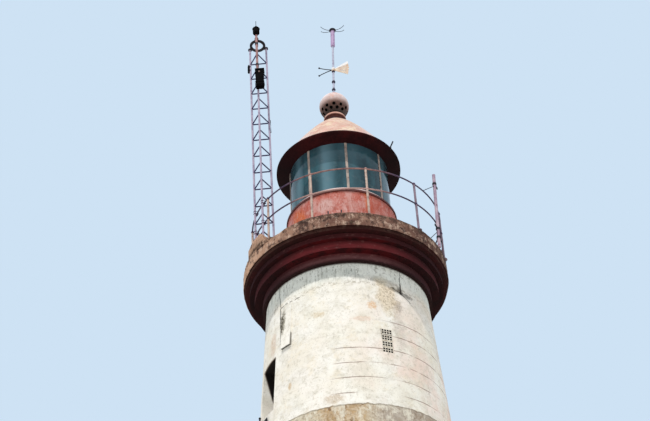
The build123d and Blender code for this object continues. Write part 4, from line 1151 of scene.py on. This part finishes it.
def make_cabinet_door():
    """The cabinet's door and its hood."""
    wide, _, tall = CABINET_HIGH - CABINET_LOW
    middle = (CABINET_LOW + CABINET_HIGH) / 2
    shape = bmesh.new()
    door = Vector((middle.x, CABINET_LOW.y - 0.003, middle.z - 0.005))
    block(shape, door, (wide - 0.03, 0.008, tall - 0.05))
    hood = Vector((middle.x, middle.y - 0.004, CABINET_HIGH.z + 0.003))
    block(shape, hood, (wide + 0.014, 0.13, 0.012))
    bevelled(make_piece("cabinet_door", shape, black_iron, smooth=False), 0.002)


def cabinet_strap(shape, height):
    """A strap round the cabinet and the mast's nearest leg."""
    leg = on_mast(MAST_LEGS[0], height)
    right, left = CABINET_HIGH.x + 0.004, CABINET_LOW.x - 0.004
    front, back, leg_back = CABINET_LOW.y - 0.01, CABINET_HIGH.y, leg.y + 0.024
    corners = [(right, back), (leg.x + 0.026, leg_back), (leg.x - 0.026, leg_back)]
    corners += [(left, back), (left, front), (right, front), (right, back)]
    rod(shape, [Vector((x, y, height)) for x, y in corners], 0.0045)


def make_cabinet_fittings():
    """The cabinet's hinges, straps, catch and cable glands."""
    middle = (CABINET_LOW + CABINET_HIGH) / 2
    tall = CABINET_HIGH.z - CABINET_LOW.z
    front = CABINET_LOW.y - 0.006
    shape = bmesh.new()
    for share in (-0.3, 0.3):
        height = middle.z + share * tall
        hinge = Vector((CABINET_LOW.x + 0.012, front, height - 0.025))
        lathe(shape, barrel(0.007, 0.05, 0.001, 0.003), hinge, UP, 10)
        cabinet_strap(shape, height)
    catch = Vector((CABINET_HIGH.x - 0.03, front, middle.z))
    lathe(shape, ((0.012, 0), (0.012, 0.006), (0.005, 0.008), (0.005, 0.016)), catch, OUT_IN_FRONT, 12)
    block(shape, catch + Vector((0, -0.018, -0.012)), (0.008, 0.006, 0.045))
    for shift in (-0.04, 0, 0.04):
        gland = Vector((middle.x + shift, middle.y, CABINET_LOW.z + 0.002))
        lathe(shape, ((0.014, 0), (0.014, 0.01), (0.009, 0.013), (0.009, 0.032)), gland, -UP, 8)
    make_piece("cabinet_fittings", shape, black_iron, smooth=False)


def make_cabinet_plate():
    """A small round cover on the cabinet's door."""
    shape = bmesh.new()
    middle_x = (CABINET_LOW.x + CABINET_HIGH.x) / 2
    cover = Vector((middle_x - 0.008, CABINET_LOW.y - 0.006, CABINET_HIGH.z - 0.075))
    lathe(shape, ((0.017, 0), (0.016, 0.004), (0.01, 0.006)), cover, OUT_IN_FRONT, 14)
    make_piece("cabinet_plate", shape, post_iron, smooth=False)


def drum_panel(shape, start, end, bottom, top, thick):
    """A curved plate on the drum, from one turn off the hatch's middle to another."""
    turns = spread(HATCH_BEARING + start, HATCH_BEARING + end, max(int(end - start), 2))
    wrapped(shape, turns, (bottom, top), round_face(DRUM_RADIUS - 0.002), round_face(DRUM_RADIUS + thick))


def make_hatch():
    """The drum's service hatch at the back, with its raised border."""
    shape = bmesh.new()
    low, high = HATCH_HEIGHTS
    turn = HATCH_HALF_TURN
    drum_panel(shape, -turn, turn, low, high, 0.01)
    for start, end in ((-turn - 3, -turn - 0.3), (turn + 0.3, turn + 3)):
        drum_panel(shape, start, end, low - HATCH_BORDER, high + HATCH_BORDER, 0.006)
    for bottom, top in ((low - HATCH_BORDER, low - 0.004), (high + 0.004, high + HATCH_BORDER)):
        drum_panel(shape, -turn - 0.3, turn + 0.3, bottom, top, 0.006)
    bevelled(make_piece("drum_hatch", shape, drum_coat, smooth=False), 0.002)


def make_hatch_irons():
    """The hatch's strap hinges and its lever."""
    shape = bmesh.new()
    low, high = HATCH_HEIGHTS
    turn = HATCH_HALF_TURN
    for share in (0.2, 0.8):
        z = low + (high - low) * share
        drum_panel(shape, -turn - 2, -turn + 12, z - 0.02, z + 0.02, 0.016)
        foot = around(DRUM_RADIUS + 0.014, HATCH_BEARING - turn - 0.2, z - 0.035)
        lathe(shape, barrel(0.012, 0.07, 0.002, 0.004), foot, UP, 12)
    lever_bearing = HATCH_BEARING + turn - 4
    hub = around(DRUM_RADIUS + 0.008, lever_bearing, (low + high) / 2)
    out = around(1, lever_bearing)
    lathe(shape, ((0.022, 0), (0.022, 0.008), (0.012, 0.012), (0.012, 0.034), (0.008, 0.036)), hub, out, 14)
    rod(shape, [hub + out * 0.028, hub + out * 0.032 - UP * 0.06, hub + out * 0.034 - UP * 0.13], 0.008)
    make_piece("hatch_irons", shape, dark_iron, smooth=False)


def make_rivets():
    """Two rows of rivets round the drum and one up each of its seams."""
    round_turns = [360 * step / RIVETS_ROUND for step in range(RIVETS_ROUND)]
    round_heights = (SLAB_HIGH.z + 0.05, DRUM_HIGH.z - 0.085)
    seam_heights = spread(SLAB_HIGH.z + 0.12, DRUM_HIGH.z - 0.15, 12)
    places = [(turn, z) for z in round_heights for turn in round_turns]
    places += [(seam, z) for seam in SEAM_BEARINGS for z in seam_heights]
    shape = bmesh.new()
    for bearing, z in places:
        lathe(shape, RIVET, around(DRUM_RADIUS - 0.001, bearing, z), around(1, bearing), 8)
    make_piece("drum_rivets", shape, drum_coat)


def post_places():
    """Each railing post's bearing and the place of its foot."""
    bearings = [FIRST_POST_BEARING + index * 360 / POST_COUNT for index in range(POST_COUNT)]
    return [(bearing, around(RAIL_RADIUS, bearing, SLAB_HIGH.z) + RAIL_CENTRE) for bearing in bearings]


def make_rail_collars():
    """A weld collar where each rail meets a post."""
    shape = bmesh.new()
    wide = POST_RADIUS + 0.007
    shoulder = wide - 0.002
    profile = ((POST_RADIUS, 0), (shoulder, 0.008), (wide, 0.02), (shoulder, 0.036), (POST_RADIUS, 0.044))
    for _, spot in post_places():
        for height in RAIL_HEIGHTS:
            lathe(shape, profile, spot + UP * (height - 0.022), UP, 14)
    make_piece("rail_collars", shape, rail_iron)


def make_post_feet():
    """A bolted foot plate under each post. The one on the mast's footing stands on the mound."""
    shape = bmesh.new()
    plate = ((0.052, 0), (0.052, 0.007), (0.05, 0.009), (0.026, 0.009), (0.022, 0.022), (0.019, 0.024))
    bolt = ((0.008, 0), (0.008, 0.006), (0.0045, 0.0065), (0.0045, 0.012), (0.003, 0.013))
    for bearing, spot in post_places():
        if FOOTING_LOW.x < spot.x < FOOTING_INSIDE and FOOTING_LOW.y < spot.y < FOOTING_BACK:
            spot.z = mound_top(spot.x, spot.y) - 0.012
            rod(shape, [spot, Vector((spot.x, spot.y, MAST_FOOT + 0.01))], POST_RADIUS, 16)
        lathe(shape, plate, spot, UP, 20)
        for corner in range(4):
            lathe(shape, bolt, spot + around(0.038, bearing + 45 + 90 * corner, 0.009), UP, 6)
    make_piece("post_feet", shape, post_iron, smooth=False)


def make_slab_bolts():
    """Two cut-off bolts near the slab's front edge."""
    shape = bmesh.new()
    for bearing in SLAB_BOLT_BEARINGS:
        foot = around(SLAB_BOLT_REACH, bearing, SLAB_HIGH.z - 0.004)
        lathe(shape, ((0.016, 0), (0.016, 0.02), (0.01, 0.024), (0.01, 0.094), (0.007, 0.1)), foot, UP, 12)
    make_piece("slab_bolts", shape, dark_iron)


def make_door_boards():
    shape = bmesh.new()
    wide, _, tall = DOOR_HIGH - DOOR_LOW
    board_width = (wide - 0.02) / BOARD_COUNT
    for index in range(BOARD_COUNT):
        x = DOOR_LOW.x + 0.01 + board_width * (index + 0.5)
        middle = Vector((x, DOOR_FACE - 0.006, DOOR_LOW.z + tall / 2))
        block(shape, middle, (board_width - 0.008, 0.016, tall - 0.02))
    bevelled(make_piece("door_boards", shape, door_coat, smooth=False), 0.003)


def make_door_frame():
    shape = bmesh.new()
    wide, _, tall = DOOR_HIGH - DOOR_LOW
    y = DOOR_FACE - 0.03
    for side in (-1, 1):
        block(shape, Vector((side * (DOOR_HIGH.x - 0.022), y, DOOR_LOW.z + tall / 2)), (0.05, 0.055, tall))
    block(shape, Vector((0, y, DOOR_HIGH.z - 0.026)), (wide, 0.055, 0.05))
    bevelled(make_piece("door_frame", shape, door_coat, smooth=False), 0.005)


def make_door_ironwork():
    """The door's studded strap hinges, and its handle: a ring that hangs from a boss on a plate."""
    shape = bmesh.new()
    for height in HINGE_HEIGHTS:
        z = DOOR_LOW.z + height
        block(shape, Vector((DOOR_LOW.x + 0.27, DOOR_FACE - 0.017, z)), (0.44, 0.006, 0.045))
        foot = Vector((DOOR_LOW.x + 0.052, DOOR_FACE - 0.062, z - 0.03))
        lathe(shape, barrel(0.016, 0.06, 0.002, 0.004), foot, UP, 14)
        for step in range(4):
            stud = Vector((DOOR_LOW.x + 0.12 + 0.11 * step, DOOR_FACE - 0.02, z))
            lathe(shape, ((0.011, 0), (0.009, 0.004), (0.004, 0.006)), stud, OUT_IN_FRONT, 10)
    handle = Vector((DOOR_HIGH.x - 0.13, DOOR_FACE - 0.016, DOOR_LOW.z + 1.02))
    block(shape, handle + Vector((0, -0.002, -0.03)), (0.06, 0.006, 0.2))
    ring_radius = 0.045
    centre = handle + Vector((0, -0.018, -ring_radius))
    turns = spread(0, 2 * pi, 24)
    rod(shape, [centre + ring_radius * Vector((sin(turn), 0, cos(turn))) for turn in turns], 0.006)
    boss = handle + Vector((0, -0.004, 0))
    lathe(shape, ((0.014, 0), (0.012, 0.016), (0.006, 0.022)), boss, OUT_IN_FRONT, 12)
    make_piece("door_ironwork", shape, irons["hinge_iron"], smooth=False)


make_slab()
make_footing()
make_strip()
make_mast_clamps()
make_mast_fittings()
make_cabinet_door()
make_cabinet_fittings()
make_cabinet_plate()
make_hatch()
make_hatch_irons()
make_rivets()
make_rail_collars()
make_post_feet()
make_slab_bolts()
make_door_boards()
make_door_frame()
make_door_ironwork()


def make_floor():
    shape = bmesh.new()
    bmesh.ops.create_grid(shape, x_segments=8, y_segments=8, size=FLOOR_SIZE / 2)
    mesh = bpy.data.meshes.new("floor")
    shape.to_mesh(mesh)
    shape.free()
    mesh.materials.append(floor_paint())
    floor = bpy.data.objects.new("floor", mesh)
    floor.location.z = -FLOOR_DROP
    bpy.context.scene.collection.objects.link(floor)


def add_sun(name, bearing, elevation, strength, size, tint, gloss=True):
    light = bpy.data.lights.new(name, "SUN")
    light.energy = strength
    light.angle = radians(size)
    light.color = tint
    lamp = bpy.data.objects.new(name, light)
    towards = around(cos(radians(elevation)), bearing, sin(radians(elevation)))
    lamp.rotation_euler = towards.to_track_quat("Z", "Y").to_euler()
    lamp.location = towards * LAMP_DISTANCE
    lamp.visible_glossy = gloss
    bpy.context.scene.collection.objects.link(lamp)


def make_sky():
    """Soft light from all round, behind a plain pale blue that the camera, gloss and glass see."""
    world = bpy.data.worlds.new("sky")
    bpy.context.scene.world = world
    world.use_nodes = True
    tree = world.node_tree
    light_sky = tree.nodes["Background"]
    shown_sky = tree.nodes.new("ShaderNodeBackground")
    light_sky.inputs["Color"].default_value = (*SKY_TINT, 1)
    light_sky.inputs["Strength"].default_value = SKY_STRENGTH
    shown_sky.inputs["Color"].default_value = paint(*BACKDROP)
    shown_sky.inputs["Strength"].default_value = 1
    path = tree.nodes.new("ShaderNodeLightPath")
    seen = path.outputs["Is Camera Ray"]
    for ray in ("Is Glossy Ray", "Is Transmission Ray"):
        either = tree.nodes.new("ShaderNodeMath")
        either.operation = "MAXIMUM"
        tree.links.new(seen, either.inputs[0])
        tree.links.new(path.outputs[ray], either.inputs[1])
        seen = either.outputs[0]
    chosen = tree.nodes.new("ShaderNodeMixShader")
    for index, socket in enumerate((seen, light_sky.outputs[0], shown_sky.outputs[0])):
        tree.links.new(socket, chosen.inputs[index])
    tree.links.new(chosen.outputs[0], tree.nodes["World Output"].inputs["Surface"])


def make_camera():
    """The photograph's camera."""
    yaw, pitch, roll = (radians(angle) for angle in (CAMERA_YAW, CAMERA_PITCH, CAMERA_ROLL))
    forward = Vector((sin(yaw) * cos(pitch), cos(yaw) * cos(pitch), sin(pitch)))
    level = Vector((cos(yaw), -sin(yaw), 0))
    above = level.cross(forward)
    side = level * cos(roll) + above * sin(roll)
    top = above * cos(roll) - level * sin(roll)
    lens = bpy.data.cameras.new("camera")
    lens.sensor_width = SENSOR
    lens.lens = SENSOR * FOCAL_PIXELS / IMAGE_WIDTH
    lens.clip_end = 1000
    camera = bpy.data.objects.new("camera", lens)
    turn = Matrix((side, top, -forward)).transposed().to_4x4()
    camera.matrix_world = Matrix.Translation(CAMERA_PLACE) @ turn
    bpy.context.scene.collection.objects.link(camera)
    bpy.context.scene.camera = camera


make_floor()
add_sun("sun", SUN_BEARING, SUN_ELEVATION, SUN_STRENGTH, SUN_SIZE, SUN_TINT)
add_sun("fill", FILL_BEARING, FILL_ELEVATION, FILL_STRENGTH, FILL_SIZE, SKY_TINT, gloss=False)
make_sky()
make_camera()
bpy.context.scene.view_settings.view_transform = "Standard"
